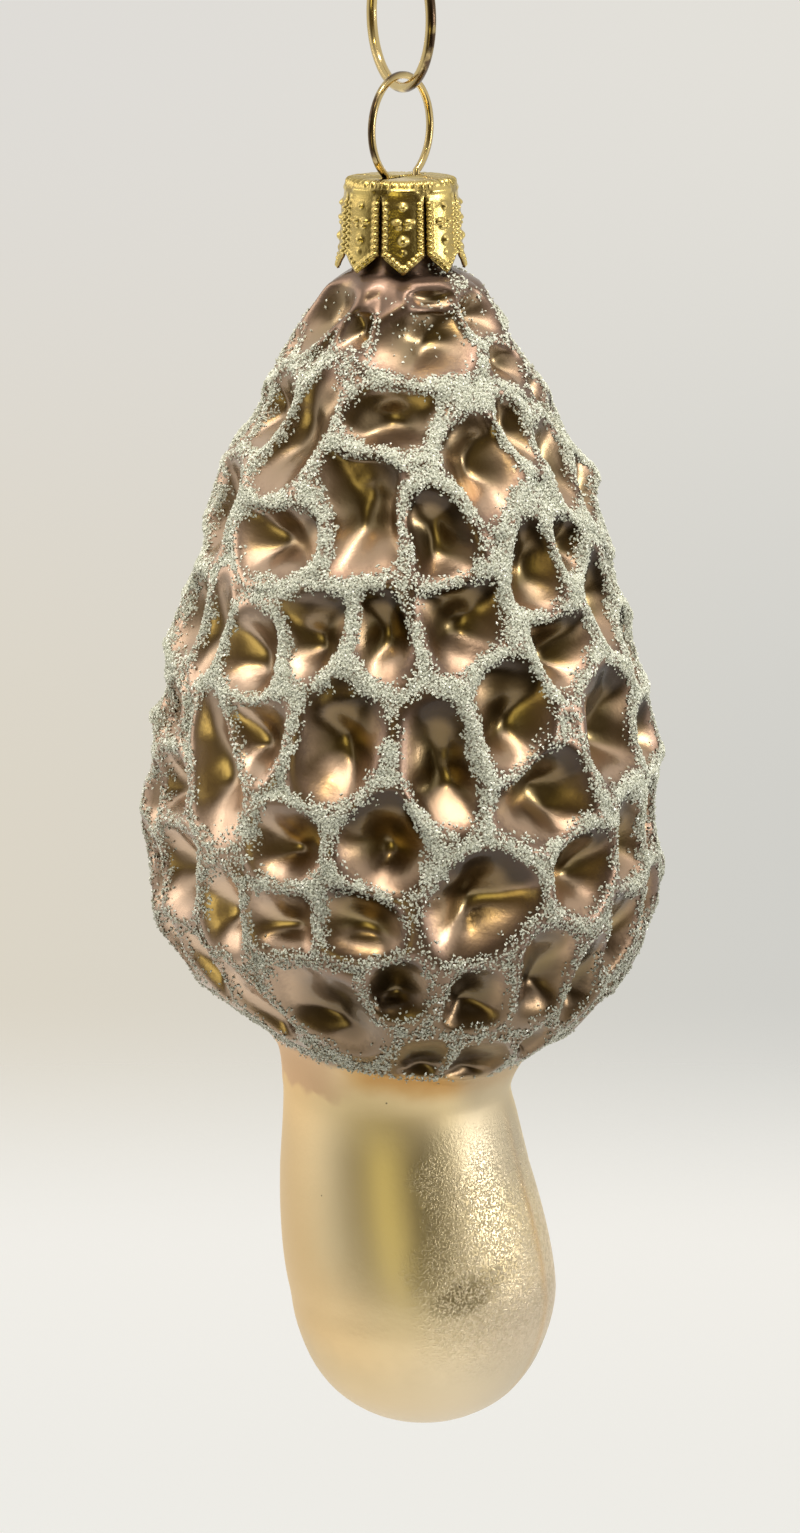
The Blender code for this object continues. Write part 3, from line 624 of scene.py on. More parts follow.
def stamped_height(turn_deg, drop):
    """Rise of the stamped beads on a tab, at degrees from its middle and a drop below the top."""
    across = np.radians(turn_deg) * CROWN_MIDRADIUS
    rise = np.zeros(turn_deg.shape)

    def bead(x, y, tall, wide, high):
        away = ((across - x) / wide) ** 2 + ((drop - y) / high) ** 2
        np.maximum(rise, tall * np.exp(-away ** 1.5), out=rise)

    for side in (-1, 1):
        edge, tall, size = EDGE_BEAD
        for i in range(EDGE_BEADS):
            bead(side * edge, SLIT_TOP + 0.15 + EDGE_PITCH * i, tall, size, size)
        edge, tall, size = POINT_BEAD
        for i in range(1, POINT_BEADS + 1):
            low = CROWN_HEIGHT - POINT_HEIGHT - 0.3 + POINT_STEP[1] * i
            bead(side * (edge - POINT_STEP[0] * i), low, tall, size, size)
    for lone in LONE_BEADS:
        bead(*lone)
    return rise


def crown_outline():
    """The sheet's radius, its drop and the length of sheet to there, from the middle to the points."""
    shoulder, tip = CROWN_PROFILE[-2:]
    outline = [(p[0], p[1]) for p in smooth_line(CROWN_PROFILE[:-1], TOP_STEP)]
    for t in np.linspace(0, 1, SIDE_STEPS)[1:]:
        outline.append((shoulder[0] + (tip[0] - shoulder[0]) * t, shoulder[1] + (tip[1] - shoulder[1]) * t))
    lengths = [0.0]
    for p, q in zip(outline, outline[1:]):
        lengths.append(lengths[-1] + math.hypot(q[0] - p[0], q[1] - p[1]))
    return [p[0] for p in outline], [p[1] for p in outline], lengths


def tab_grids():
    """A flat grid for each tab, one over another. Its height marks which tab it is for."""
    grids = bmesh.new()
    for tab in range(TABS):
        bmesh.ops.create_grid(grids, x_segments=CROWN_COLUMNS, y_segments=CROWN_ROWS, size=1.0,
                              matrix=Matrix.Translation((0, 0, tab * TAB_MARK)))
    return mesh_from(grids, "tabs", smooth=False)


def lay_round(mesh):
    """Lays the tabs' grids down the crown's outline, side by side, and stamps them."""
    grid = coordinates(mesh) * MM
    tab = np.round(grid[:, 2] / TAB_MARK)
    radii, drops, lengths = crown_outline()
    down = (1 - grid[:, 1]) / 2 * lengths[-1]
    radius = np.interp(down, lengths, radii)
    drop = np.interp(down, lengths, drops)
    half = 180 / TABS
    slit = SLIT_HALF_DEG * smooth_step(drop, SLIT_TOP - 0.1, SLIT_TOP + 0.15)
    point = np.clip((drop - (CROWN_HEIGHT - POINT_HEIGHT)) / POINT_HEIGHT, 0, 1)
    turn_deg = grid[:, 0] * (half - slit) * (1 - POINT_TAPER * point)
    off_middle = np.abs(turn_deg)
    beads = np.where(drop > SLIT_TOP - 0.4, stamped_height(turn_deg, drop), 0)
    # small knurls round the shoulder, and a panel that stands proud of its edges
    knurl = 0.5 + 0.5 * np.cos(np.radians(turn_deg + tab * 45) * 46 + 3 * np.sin(turn_deg * 0.7 + tab))
    rise = beads + KNURL_RISE * np.exp(-((drop - KNURL_DROP) / KNURL_WIDTH) ** 2) * knurl
    rise += STEP_RISE * np.exp(-((drop - STEP_DROP) / STEP_WIDTH) ** 2) * smooth_step(-off_middle, -17, -13)
    on_side = smooth_step(drop, SHOULDER_DROP, 3.0)
    rise += PANEL_RISE * on_side * (1 - (turn_deg / half) ** 2)
    rise -= TOP_DISH * (1 - smooth_step(radius, 3.2, 4.6)) * smooth_step(radius, 0.2, 1.5)
    flare = np.array(TAB_FLARE)[tab.astype(int)] * smooth_step(drop, 5.5, CROWN_HEIGHT)
    radius = radius + rise * on_side + flare
    radius = np.where(drop > SHOULDER_DROP, radius, radius + rise * 0.5 * smooth_step(radius, 3.4, 4.8))
    # painted shade: the gold is darker between the beads, along the tab edges and on the flat panels
    edges = smooth_step(drop, 0.2, 1.2) * (1 - smooth_step(rise, 0.02, 0.2)) * smooth_step(off_middle, 5, 17)
    flats = smooth_step(drop, 1.7, 2.3) * (1 - smooth_step(beads, 0.02, 0.14)) * 0.62
    set_values(mesh, "hollow", np.maximum(edges, flats))
    angle = np.radians(TAB_TURN + tab * 360 / TABS + turn_deg)
    height = CROWN_TOP - CROWN_SINK - drop + np.where(drop < SHOULDER_DROP, rise * 0.7, 0)
    set_coordinates(mesh, np.stack((radius * np.sin(angle), -radius * np.cos(angle), height), axis=1))


def make_crown():
    """The stamped cap, in eight tabs that are joined down to their slits."""
    mesh = tab_grids()
    lay_round(mesh)
    crown = bmesh.new()
    crown.from_mesh(mesh)
    bpy.data.meshes.remove(mesh)
    bmesh.ops.remove_doubles(crown, verts=crown.verts, dist=0.01 * MM)
    bmesh.ops.recalc_face_normals(crown, faces=crown.faces)
    cut_slot(crown)
    piece = keep("crown", mesh_from(crown, "crown"), "ornament", "crown_cap")
    wall = piece.modifiers.new("sheet", "SOLIDIFY")
    wall.thickness = SHEET * MM
    wall.offset = -1
    piece.data.materials.append(stamped_gold())


def faces_of_top(crown):
    """The faces round the middle of the crown's top, which the slot is cut from."""
    reach, depth = SLOT_REACH
    middles = [(f, f.calc_center_median() / MM) for f in crown.faces]
    return [f for f, middle in middles if middle.xy.length < reach and middle.z > CROWN_TOP - depth]


def cut_slot(crown):
    """Opens the slot in the crown's top that the loop's legs go down through."""
    aside = Vector((-LOOP_ACROSS.y, LOOP_ACROSS.x, 0))
    sides = ((LOOP_ACROSS, SLOT[0] / 2 * MM), (aside, SLOT[1] / 2 * MM))
    for axis, half in sides:
        for way in (-axis, axis):
            top = faces_of_top(crown)
            geom = set(top) | {e for f in top for e in f.edges} | {v for f in top for v in f.verts}
            bmesh.ops.bisect_plane(crown, geom=list(geom), dist=0.001 * MM, plane_co=way * half, plane_no=way)
    inside = [f for f in faces_of_top(crown)
              if all(abs(f.calc_center_median().dot(axis)) < half for axis, half in sides)]
    bmesh.ops.delete(crown, geom=inside, context="FACES")


# ---------------------------------------------------------------- ring and loop

def set_dark_band(mesh, across, centre, radius, wire):
    """Marks the outside of a bent wire, where a dark reflection is painted on the gold."""
    points = coordinates(mesh)
    away = np.hypot(points[:, 0] * across.x + points[:, 1] * across.y, points[:, 2] - centre)
    set_values(mesh, "painted_dark_band", smooth_step((away - radius) / wire, *DARK_BAND_EDGE))


def make_ring():
    shape = bmesh.new()
    facing = RING_ACROSS.cross(Vector((0, 0, 1)))
    section = bmesh.ops.create_circle(shape, cap_ends=False, segments=RING_SIDES, radius=RING_WIRE * MM)
    turn = Matrix.Rotation(math.atan2(RING_ACROSS.y, RING_ACROSS.x), 3, "Z")
    bmesh.ops.translate(shape, verts=section["verts"], vec=(RING_RADIUS * MM, 0, 0))
    bmesh.ops.rotate(shape, verts=section["verts"], matrix=turn)
    bmesh.ops.translate(shape, verts=section["verts"], vec=(0, 0, RING_CENTRE * MM))
    bmesh.ops.spin(shape, geom=shape.verts[:] + shape.edges[:], cent=(0, 0, RING_CENTRE * MM),
                   axis=facing, angle=2 * math.pi, steps=RING_STEPS, use_merge=True,
                   use_normal_flip=False, use_duplicate=False)
    bmesh.ops.recalc_face_normals(shape, faces=shape.faces)
    mesh = mesh_from(shape, "ring")
    set_dark_band(mesh, RING_ACROSS, RING_CENTRE, RING_RADIUS, RING_WIRE)
    ring = keep("ring", mesh, "ring", "hanging_ring")
    ring.data.materials.append(wire_gold("gold_ring"))


def loop_line():
    """The loop's wire from one leg's tip to the other's, in its own plane."""
    leg = smooth_line(LEG, LEG_SPACING)
    entry = math.asin(LOOP_ENTRY / LOOP_RADIUS)
    line = list(leg)
    for i in range(LOOP_STEPS + 1):
        angle = entry + (2 * math.pi - 2 * entry) * i / LOOP_STEPS
        line.append(Vector((LOOP_RADIUS * math.sin(angle), LOOP_CENTRE - LOOP_RADIUS * math.cos(angle))))
    return line + [Vector((-p[0], p[1])) for p in reversed(leg)]


def make_loop():
    curve = bpy.data.curves.new("loop", "CURVE")
    curve.dimensions = "3D"
    curve.bevel_depth = LOOP_WIRE * MM
    curve.bevel_resolution = 3
    curve.use_fill_caps = True
    line = loop_line()
    spline = curve.splines.new("POLY")
    spline.points.add(len(line) - 1)
    for point, (across, height) in zip(spline.points, line):
        place = LOOP_ACROSS * across + Vector((0, 0, height))
        point.co = (*(place * MM), 1.0)
    holder = bpy.data.objects.new("loop_wire", curve)
    bpy.context.scene.collection.objects.link(holder)
    graph = bpy.context.evaluated_depsgraph_get()
    mesh = bpy.data.meshes.new_from_object(holder.evaluated_get(graph), depsgraph=graph)
    bpy.data.objects.remove(holder)
    mesh.shade_smooth()
    mesh.materials.clear()
    set_dark_band(mesh, LOOP_ACROSS, LOOP_CENTRE, LOOP_RADIUS, LOOP_WIRE)
    loop = keep("loop", mesh, "ornament", "wire_loop")
    loop.data.materials.append(wire_gold("gold_wire"))


# ---------------------------------------------------------------- finishes

class Wire:
    """A shader socket that takes part in arithmetic."""

    def __init__(self, finish, socket):
        self.finish = finish
        self.socket = socket

    def math(self, operation, first, second):
        return self.finish.node("ShaderNodeMath", {"operation": operation}, {0: first, 1: second})

    def __add__(self, other):
        return self.math("ADD", self, other)

    def __radd__(self, other):
        return self.math("ADD", other, self)

    def __sub__(self, other):
        return self.math("SUBTRACT", self, other)

    def __rsub__(self, other):
        return self.math("SUBTRACT", other, self)

    def __mul__(self, other):
        return self.math("MULTIPLY", self, other)

    def __rmul__(self, other):
        return self.math("MULTIPLY", other, self)


class Finish:
    """A material whose nodes are written as expressions."""

    def __init__(self, name, **sockets):
        self.material = bpy.data.materials.new(name)
        self.material.use_nodes = True
        self.tree = self.material.node_tree
        self.surface = self.tree.nodes["Principled BSDF"]
        for socket, value in sockets.items():
            self.surface.inputs[socket.replace("_", " ")].default_value = value

    def node(self, kind, settings=None, sockets=None, output=0):
        node = self.tree.nodes.new(kind)
        for name, value in (settings or {}).items():
            setattr(node, name, value)
        for name, value in (sockets or {}).items():
            self.put(node.inputs[name], value)
        return Wire(self, node.outputs[output])

    def put(self, socket, value):
        if isinstance(value, Wire):
            self.tree.links.new(value.socket, socket)
        else:
            socket.default_value = value

    def feed(self, **sockets):
        for name, value in sockets.items():
            self.put(self.surface.inputs[name.replace("_", " ")], value)

    def place(self):
        return self.node("ShaderNodeTexCoord", output="Object")

    def attribute(self, name):
        return self.node("ShaderNodeAttribute", {"attribute_name": name}, output="Fac")

    def noise(self, size_mm, detail=3.0):
        return self.node("ShaderNodeTexNoise", {}, {"Vector": self.place(), "Scale": 1 / (size_mm * MM),
                                                     "Detail": detail, "Roughness": 0.55})

    def cells(self, size_mm, output="Distance"):
        return self.node("ShaderNodeTexVoronoi", {}, {"Vector": self.place(),
                                                       "Scale": 1 / (size_mm * MM)}, output)

    def along(self, axis):
        """Distance along X, Y or Z in millimetres."""
        return self.node("ShaderNodeSeparateXYZ", {}, {0: self.place()}, axis) * (1 / MM)

    def step(self, value, low, high):
        return self.node("ShaderNodeMapRange", {"interpolation_type": "SMOOTHSTEP"},
                         {"Value": value, "From Min": low, "From Max": high})

    def mix(self, factor, first, second):
        return self.node("ShaderNodeMix", {"data_type": "RGBA"}, {0: factor, 6: first, 7: second}, 2)

    def bump(self, height, distance_mm):
        return self.node("ShaderNodeBump", {}, {"Height": height, "Distance": distance_mm * MM})


OLIVE = (0.34, 0.25, 0.115, 1)
COPPER = (0.40, 0.27, 0.16, 1)
MAUVE = (0.21, 0.14, 0.10, 1)
SHADED = (0.13, 0.085, 0.035, 1)
PAINTED_DEEP_SHADE = (0.022, 0.014, 0.008, 1)
PAINTED_LIGHT_TONE = (0.69, 0.51, 0.37, 1)
PAINTED_HIGHLIGHT_ROSE = (0.66, 0.46, 0.34, 1)
FROST = (0.43, 0.42, 0.34, 1)
FROST_DARK = (0.24, 0.20, 0.15, 1)
GRAIN_DARK = (0.33, 0.33, 0.26, 1)
GRAIN_LIGHT = (0.72, 0.745, 0.63, 1)
CHAMPAGNE = (0.80, 0.67, 0.42, 1)
PEACH_REFLECTION = (0.73, 0.54, 0.29, 1)
PUTTY = (0.68, 0.56, 0.40, 1)
AMBER = (0.60, 0.38, 0.15, 1)
DRIP = (0.55, 0.36, 0.24, 1)
GLITTER = (0.88, 0.77, 0.60, 1)
GLITTER_DARK = (0.42, 0.33, 0.17, 1)
SEAM = (0.70, 0.46, 0.20, 1)
PAINTED_DARK_REFLECTION = (0.20, 0.155, 0.065, 1)
HIGHLIGHT_SHADE = (0.46, 0.40, 0.30, 1)
LOW_HIGHLIGHT_SHADE = (0.42, 0.36, 0.28, 1)
FOOT_SHADE = (0.40, 0.36, 0.25, 1)
SPECK = (0.10, 0.06, 0.04, 1)
CROWN_GOLD = (0.88, 0.70, 0.27, 1)
CROWN_GOLD_DEEP = (0.64, 0.48, 0.15, 1)
CROWN_GOLD_SHADE = (0.26, 0.19, 0.06, 1)
WIRE_GOLD = (0.80, 0.62, 0.27, 1)
WIRE_GOLD_DEEP = (0.56, 0.43, 0.22, 1)
WIRE_DARK_BAND = (0.10, 0.065, 0.04, 1)

# Soft steps of the cap's lacquer and of the light and shade painted on it, in reach, in lean, in drops and in
# distances to the right
PIT_WALL = (0.35, 0.85)
PIT_RIM = (0.78, 1.04)
PIT_FLOOR = (1.0, 0.6)
OVERHANG = (0.0, -0.45)
LEDGE = (0.15, 0.5)
BELOW_RIM, NEAR_RIM = (-0.15, -0.5), (0.55, 0.8)
UPPER_DROPS, DEEP_SHADE_DROPS = (64.0, 48.0), (38.0, 56.0)
SKIRT_DROPS, SKIRT_PIT_DROPS = (97.0, 105.0), (98.0, 101.0)
LIT_LEFT_SIDE = (-5.0, -17.0)
FROST_GRAIN, FROST_EDGE = (0.40, 0.58), (0.25, 0.75)

# Soft steps of the stem's pearl, and of the reflections and shade painted on it
STEM_BEGINS = (111.2, 112.4)
MATT_DROPS = (126.0, 116.0)
PEACH_REFLECTION_DROPS, PEACH_REFLECTION_LEFT = (136.0, 154.0), (-6.0, -12.0)
PUTTY_DROPS = (140.0, 162.0)
AMBER_DROPS, AMBER_FROM = (117.0, 112.5), (-8.0, -3.0)
DRIP_DROPS, DRIP_FROM = (118.0, 116.5), (-4.0, -9.0)
GLITTER_FROM, GLITTER_BEGINS, GLITTER_ENDS = (0.0, 9.0), (119.0, 131.0), (151.0, 142.0)
FRONT_HALF = (2.0, -4.0)
DARK_REFLECTION_STRIP, DARK_REFLECTION_BEGINS, DARK_REFLECTION_ENDS = ((0.0, 2.5), (8.0, 3.5)), (118.0, 126.0), (141.0, 137.0)
DARK_PATCH_MIDDLE, DARK_PATCH_HALF, DARK_PATCH_EDGE = (7.2, 141.3), (4.8, 2.7), (1.15, 0.2)
HIGHLIGHT_SHADE_FROM, HIGHLIGHT_SHADE_DROPS = (4.0, 8.0), (127.0, 120.0)
LOW_HIGHLIGHT_SHADE_FROM, LOW_HIGHLIGHT_SHADE_DROPS = (6.0, 12.0), (138.0, 141.0)
FOOT_SHADE_DROPS = (143.0, 150.0)
SPECK_SPACING, SPECK_EDGE = 3.4, (0.05, 0.03)


def waver(pattern, amount):
    """A pattern between 0 and 1 as an unevenness of an amount, half of it each way."""
    return pattern * amount - amount / 2


def cap_lacquer(finish, reach, drop, across, broad, rim):
    """Olive gold in the pits, copper up their sides and mauve brown at the rims, with painted shade on the
    walls that face down, under the rims and over the skirt, painted light on the walls that face up, and a
    painted lighter tone high up and on the left.
    """
    cap = finish.mix(finish.step(reach + waver(broad, 0.5), *PIT_WALL), OLIVE, COPPER)
    lean = finish.attribute("lean") + waver(broad, 0.3)
    upper = finish.step(drop, *UPPER_DROPS)
    # painted light: the cap is lighter high up
    cap = finish.mix(upper * 0.3, cap, PAINTED_LIGHT_TONE)
    # painted shade on the pit walls that face down, less of it high up
    cap = finish.mix(finish.step(lean, *OVERHANG) * (1 - upper * 0.4) * 0.85, cap, SHADED)
    # painted light on the lower pit walls that face up
    cap = finish.mix(finish.step(lean, *LEDGE) * finish.step(reach, 1.1, 0.8) * 0.45, cap, PAINTED_HIGHLIGHT_ROSE)
    cap = finish.mix(rim, cap, MAUVE)
    # painted deep shade in the hollows under the rims
    under_rim = finish.step(lean, *BELOW_RIM) * finish.step(reach, *NEAR_RIM)
    cap = finish.mix(under_rim * 0.85 * finish.step(drop, *DEEP_SHADE_DROPS), cap, PAINTED_DEEP_SHADE)
    # painted shade over the skirt
    cap = finish.mix(finish.step(drop, *SKIRT_DROPS) * 0.7, cap, SHADED)
    # painted deep shade in the floors of the skirt's pits
    cap = finish.mix(finish.step(drop, *SKIRT_PIT_DROPS) * finish.step(reach, *PIT_FLOOR) * 0.5, cap, PAINTED_DEEP_SHADE)
    # painted light: the cap's left side is lighter
    return finish.mix(finish.step(across, *LIT_LEFT_SIDE) * (1 - rim * 0.3) * 0.6, cap, PAINTED_LIGHT_TONE)


def stem_pearl(finish, drop, across, broad):
    """Pearl champagne, with a painted peach reflection on the left and low down, and amber and drips under
    the skirt.
    """
    ragged = drop + waver(broad, 3.0)
    # painted reflection: peach of the bright floor low down and of the bright wall on the left
    stem = finish.mix(finish.step(drop - across + waver(broad, 8.0), *PEACH_REFLECTION_DROPS), CHAMPAGNE, PEACH_REFLECTION)
    stem = finish.mix(finish.step(across, *PEACH_REFLECTION_LEFT) * 0.9, stem, PEACH_REFLECTION)
    stem = finish.mix(finish.step(across + drop, *PUTTY_DROPS), stem, PUTTY)
    amber = finish.step(ragged, *AMBER_DROPS) * finish.step(across + waver(broad, 4.0), *AMBER_FROM)
    stem = finish.mix(amber, stem, AMBER)
    drips = finish.step(across, *DRIP_FROM) * finish.step(drop + waver(broad, 9.0), *DRIP_DROPS)
    return finish.mix(drips * 0.6, stem, DRIP)


def painted_reflection_marks(finish, stem, drop, across, broad, fine, flakes):
    """Painted dark reflections on the stem's front, between its middle and the glitter, painted shade over
    parts of the highlights on its right, and painted shade low down all round.
    """
    in_front = finish.step(finish.along("Y"), *FRONT_HALF)
    # painted reflection: a dark strip beside the stem's middle, and a speckled dark patch below the glitter
    strip_from, strip_to = DARK_REFLECTION_STRIP
    strip = finish.step(across + waver(broad, 3.0), *strip_from)
    strip = strip * finish.step(across + waver(broad, 4.0), *strip_to)
    strip = strip * finish.step(drop, *DARK_REFLECTION_BEGINS)
    strip = strip * finish.step(drop + waver(broad, 3.0), *DARK_REFLECTION_ENDS)
    aside = (across - DARK_PATCH_MIDDLE[0]) * (1 / DARK_PATCH_HALF[0])
    below = (drop + across * 0.35 - DARK_PATCH_MIDDLE[1]) * (1 / DARK_PATCH_HALF[1])
    away = aside * aside + below * below + waver(broad, 1.6) + waver(fine, 0.5)
    dark_patch = finish.step(away, *DARK_PATCH_EDGE)
    dark_patch = dark_patch * (0.14 + finish.step(flakes, 0.62, 0.42) * 0.6)
    stem = finish.mix((strip * 0.4 + dark_patch) * in_front, stem, PAINTED_DARK_REFLECTION)
    # painted shade that dims the highlights on the stem's right, above and below their brightest place
    highlight_shade = finish.step(across + waver(broad, 3.0), *HIGHLIGHT_SHADE_FROM)
    highlight_shade = highlight_shade * finish.step(drop - across * 0.4 + waver(broad, 6.0), *HIGHLIGHT_SHADE_DROPS)
    stem = finish.mix(highlight_shade * 0.7 * in_front, stem, HIGHLIGHT_SHADE)
    low_highlight_shade = finish.step(across + waver(broad, 3.0), *LOW_HIGHLIGHT_SHADE_FROM)
    low_highlight_shade = low_highlight_shade * finish.step(drop + waver(broad, 2.0), *LOW_HIGHLIGHT_SHADE_DROPS)
    stem = finish.mix(low_highlight_shade * 0.3 * in_front, stem, LOW_HIGHLIGHT_SHADE)
    # painted shade low down all round
    return finish.mix(finish.step(drop + waver(broad, 5.0), *FOOT_SHADE_DROPS) * 0.4, stem, FOOT_SHADE)


def lacquered_glass():
    finish = Finish("lacquered_glass", Coat_Roughness=0.08, Coat_IOR=1.5)
    reach, frost, drop = (finish.attribute(name) for name in ("reach", "frost", "drop"))
    across = finish.along("X")
    broad = finish.noise(6.0)
    fine = finish.noise(0.5, 4.0)
    rim = finish.step(reach + waver(fine, 0.3), *PIT_RIM)
    cap = cap_lacquer(finish, reach, drop, across, broad, rim)
    # frost under and between the grains
    grain = finish.noise(0.28, 2.0)
    ground = finish.mix(finish.step(grain, *FROST_GRAIN), FROST_DARK, FROST)
    dusted = finish.step(frost + waver(fine, 0.8), *FROST_EDGE)
    cap = finish.mix(dusted, cap, ground)
    # glitter dusted on the right of the stem, the mould's seam, painted reflections and shade, and a few
    # specks
    stem = stem_pearl(finish, drop, across, broad)
    flakes = finish.noise(0.24, 2.0)
    chips = finish.cells(0.34, "Color")
    dusting = finish.step(across + waver(broad, 10.0), *GLITTER_FROM) * finish.step(drop, *GLITTER_ENDS)
    dusting = dusting * finish.step(drop + waver(broad, 8.0), *GLITTER_BEGINS)
    glitter = dusting * (finish.step(flakes, 0.45, 0.62) * 0.55 + finish.step(chips, 0.52, 0.6) * 0.45)
    stem = finish.mix(glitter * 0.45, stem, GLITTER)
    stem = finish.mix(dusting * finish.step(chips, 0.4, 0.3) * 0.3, stem, GLITTER_DARK)
    stem = finish.mix(finish.attribute("seam") * 0.55, stem, SEAM)
    stem = painted_reflection_marks(finish, stem, drop, across, broad, fine, flakes)
    specks = finish.step(finish.cells(SPECK_SPACING), *SPECK_EDGE) * finish.step(broad, 0.5, 0.6)
    stem = finish.mix(specks, stem, SPECK)
    on_stem = finish.step(drop + waver(broad, 3.0), *STEM_BEGINS)
    on_cap = 1 - on_stem
    matt = dusted * on_cap
    stem_roughness = on_stem * 0.16 - glitter * 0.16 + on_stem * finish.step(drop, *MATT_DROPS) * 0.25
    finish.feed(
        Base_Color=finish.mix(on_stem, cap, stem),
        Metallic=1 - matt * 0.9,
        Coat_Weight=on_cap * (1 - dusted) * 0.4,
        Roughness=0.28 + rim * 0.14 * on_cap + matt * 0.4 + stem_roughness,
        Normal=finish.bump(grain * matt + fine * 0.08 + flakes * glitter * 1.1, 0.22),
    )
    return finish.material


def frost_grains():
    finish = Finish("frost_grains", Roughness=0.3, Specular_IOR_Level=0.8)
    # the grains' tone is partly random and partly painted light and shade
    grain_tone_and_light = finish.step(finish.attribute("grain_tone_and_light"), 0.0, 1.0)
    finish.feed(Base_Color=finish.mix(grain_tone_and_light, GRAIN_DARK, GRAIN_LIGHT))
    return finish.material


def stamped_gold():
    finish = Finish("gold_crown", Metallic=1.0)
    fine = finish.noise(0.25, 4.0)
    gold = finish.mix(finish.noise(2.5), CROWN_GOLD, CROWN_GOLD_DEEP)
    finish.feed(
        # painted shade between the beads and on the flats
        Base_Color=finish.mix(finish.attribute("hollow") * 0.75, gold, CROWN_GOLD_SHADE),
        Roughness=0.16 + fine * 0.16,
        Normal=finish.bump(fine, 0.03),
    )
    return finish.material


def wire_gold(name):
    finish = Finish(name, Metallic=1.0)
    broad = finish.noise(3.0)
    drawn = finish.noise(0.5, 2.0)
    gold = finish.mix(broad, WIRE_GOLD, WIRE_GOLD_DEEP)
    # painted reflection: a dark band along the outside of the wire
    dark_band = finish.attribute("painted_dark_band") * finish.step(broad, 0.3, 0.5)
    finish.feed(
        Base_Color=finish.mix(dark_band, gold, WIRE_DARK_BAND),
        Roughness=0.1 + drawn * 0.06 + dark_band * 0.1,
        Normal=finish.bump(drawn, 0.004),
    )
    return finish.material


# ---------------------------------------------------------------- stage, lights and camera

WALL_COLOUR = (0.74, 0.72, 0.67, 1)

FLOOR_DEPTH_M = 0.62
FLOOR_RADIUS_M = 2.3
FLOOR_FADE_M = (2.3, 1.85)
FLOOR_SHADE_M = (1.8, 1.35)
FLOOR_FAR = (0.93, 0.93, 0.925, 1)
FLOOR_NEAR = (0.84, 0.85, 0.85, 1)
FLOOR_GLOW = (0.97, 0.99, 1.0, 1)

BACKDROP_HALF_M = 1.6
BACKDROP_MIDDLE_M = (0.0, 3.0, -0.52)
BACKDROP_RIGHT_M = (-0.3, 0.3)
BACKDROP_UP_M = (-0.22, 0.32)
BACKDROP_LOW = ((0.715, 0.665, 0.565, 1), (0.63, 0.625, 0.59, 1))
BACKDROP_HIGH = ((0.735, 0.715, 0.68, 1), (0.77, 0.75, 0.70, 1))

# The room that shows in reflections: turns and elevations in degrees, seen from its middle
ROOM_MIDDLE_M = Vector((0.0, 0.0, -0.09))
ROOM_REACH_M = 0.3
ROOM_TURNS = (-126.0, 116.0)
ROOM_ELEVATIONS = (-36.0, 78.0)
ROOM_GRID = (96, 60)
ROOM_LOW_FADE = 8
ROOM_LEFT, ROOM_RIGHT, ROOM_TOP = (-88, -40), (-58, -32), -28
ANNEX_LEFT, ANNEX_RIGHT, ANNEX_TOP = (14, 34), (-90, -64), (6, 15)
ROOM_LIGHTER = (0.13, 0.10, 0.04, 1)
ROOM_DARKER = (0.05, 0.037, 0.017, 1)
DOOR_PLACE, DOOR_SIZE = (-17.0, -8.0), (9.0, 14.0)
DOOR_COLOUR = (2.1, 1.85, 0.7, 1)

# Lights: name, turn, elevation, reach and size in metres, watts and colour
LIGHTS = (
    ("top_light", 20, 76, 0.75, (0.5, 0.14), 5.0, (1.0, 0.93, 0.88)),
    ("left_light", -100, 22, 0.9, (0.4, 0.3), 4.6, (1.0, 0.92, 0.85)),
    ("lamp", -6, 56, 0.28, (0.02, 0.02), 0.04, (1.0, 0.85, 0.4)),
    ("right_light", 75, 5, 0.9, (0.2, 0.12), 3.4, (1.0, 0.98, 0.95)),
)
LIT_PLACE_M = (0, 0, -0.085)

CAMERA_ELEVATION = 11.0
CAMERA_DISTANCE_M = 0.65
CAMERA_TARGET_M = Vector((-0.0001, 0.0, -0.0852))
VIEW_HEIGHT_M = 0.160965


def stage_piece(name, mesh, material):
    piece = bpy.data.objects.new(name, mesh)
    bpy.context.scene.collection.objects.link(piece)
    piece.data.materials.append(material)
    return piece


def make_floor():
    """A pale disc far below that fades out towards its rim."""
    shape = bmesh.new()
    bmesh.ops.create_circle(shape, cap_ends=True, segments=96, radius=FLOOR_RADIUS_M,
                            matrix=Matrix.Translation((0, 0, -FLOOR_DEPTH_M)))
    finish = Finish("pale_floor", Roughness=0.8, Emission_Color=FLOOR_GLOW, Emission_Strength=0.13)
    away = finish.node("ShaderNodeVectorMath", {"operation": "LENGTH"}, {0: finish.place()}, "Value")
    back = finish.node("ShaderNodeSeparateXYZ", {}, {0: finish.place()}, "Y")
    shade = finish.mix(finish.step(back, *FLOOR_SHADE_M), FLOOR_FAR, FLOOR_NEAR)
    finish.feed(Base_Color=shade, Alpha=finish.step(away, *FLOOR_FADE_M))
    stage_piece("floor", mesh_from(shape, "floor", smooth=False), finish.material)


def glowing(name):
    """A finish that only gives off light."""
    return Finish(name, Base_Color=(0, 0, 0, 1), Specular_IOR_Level=0.0, Roughness=1.0, Emission_Strength=1.0)


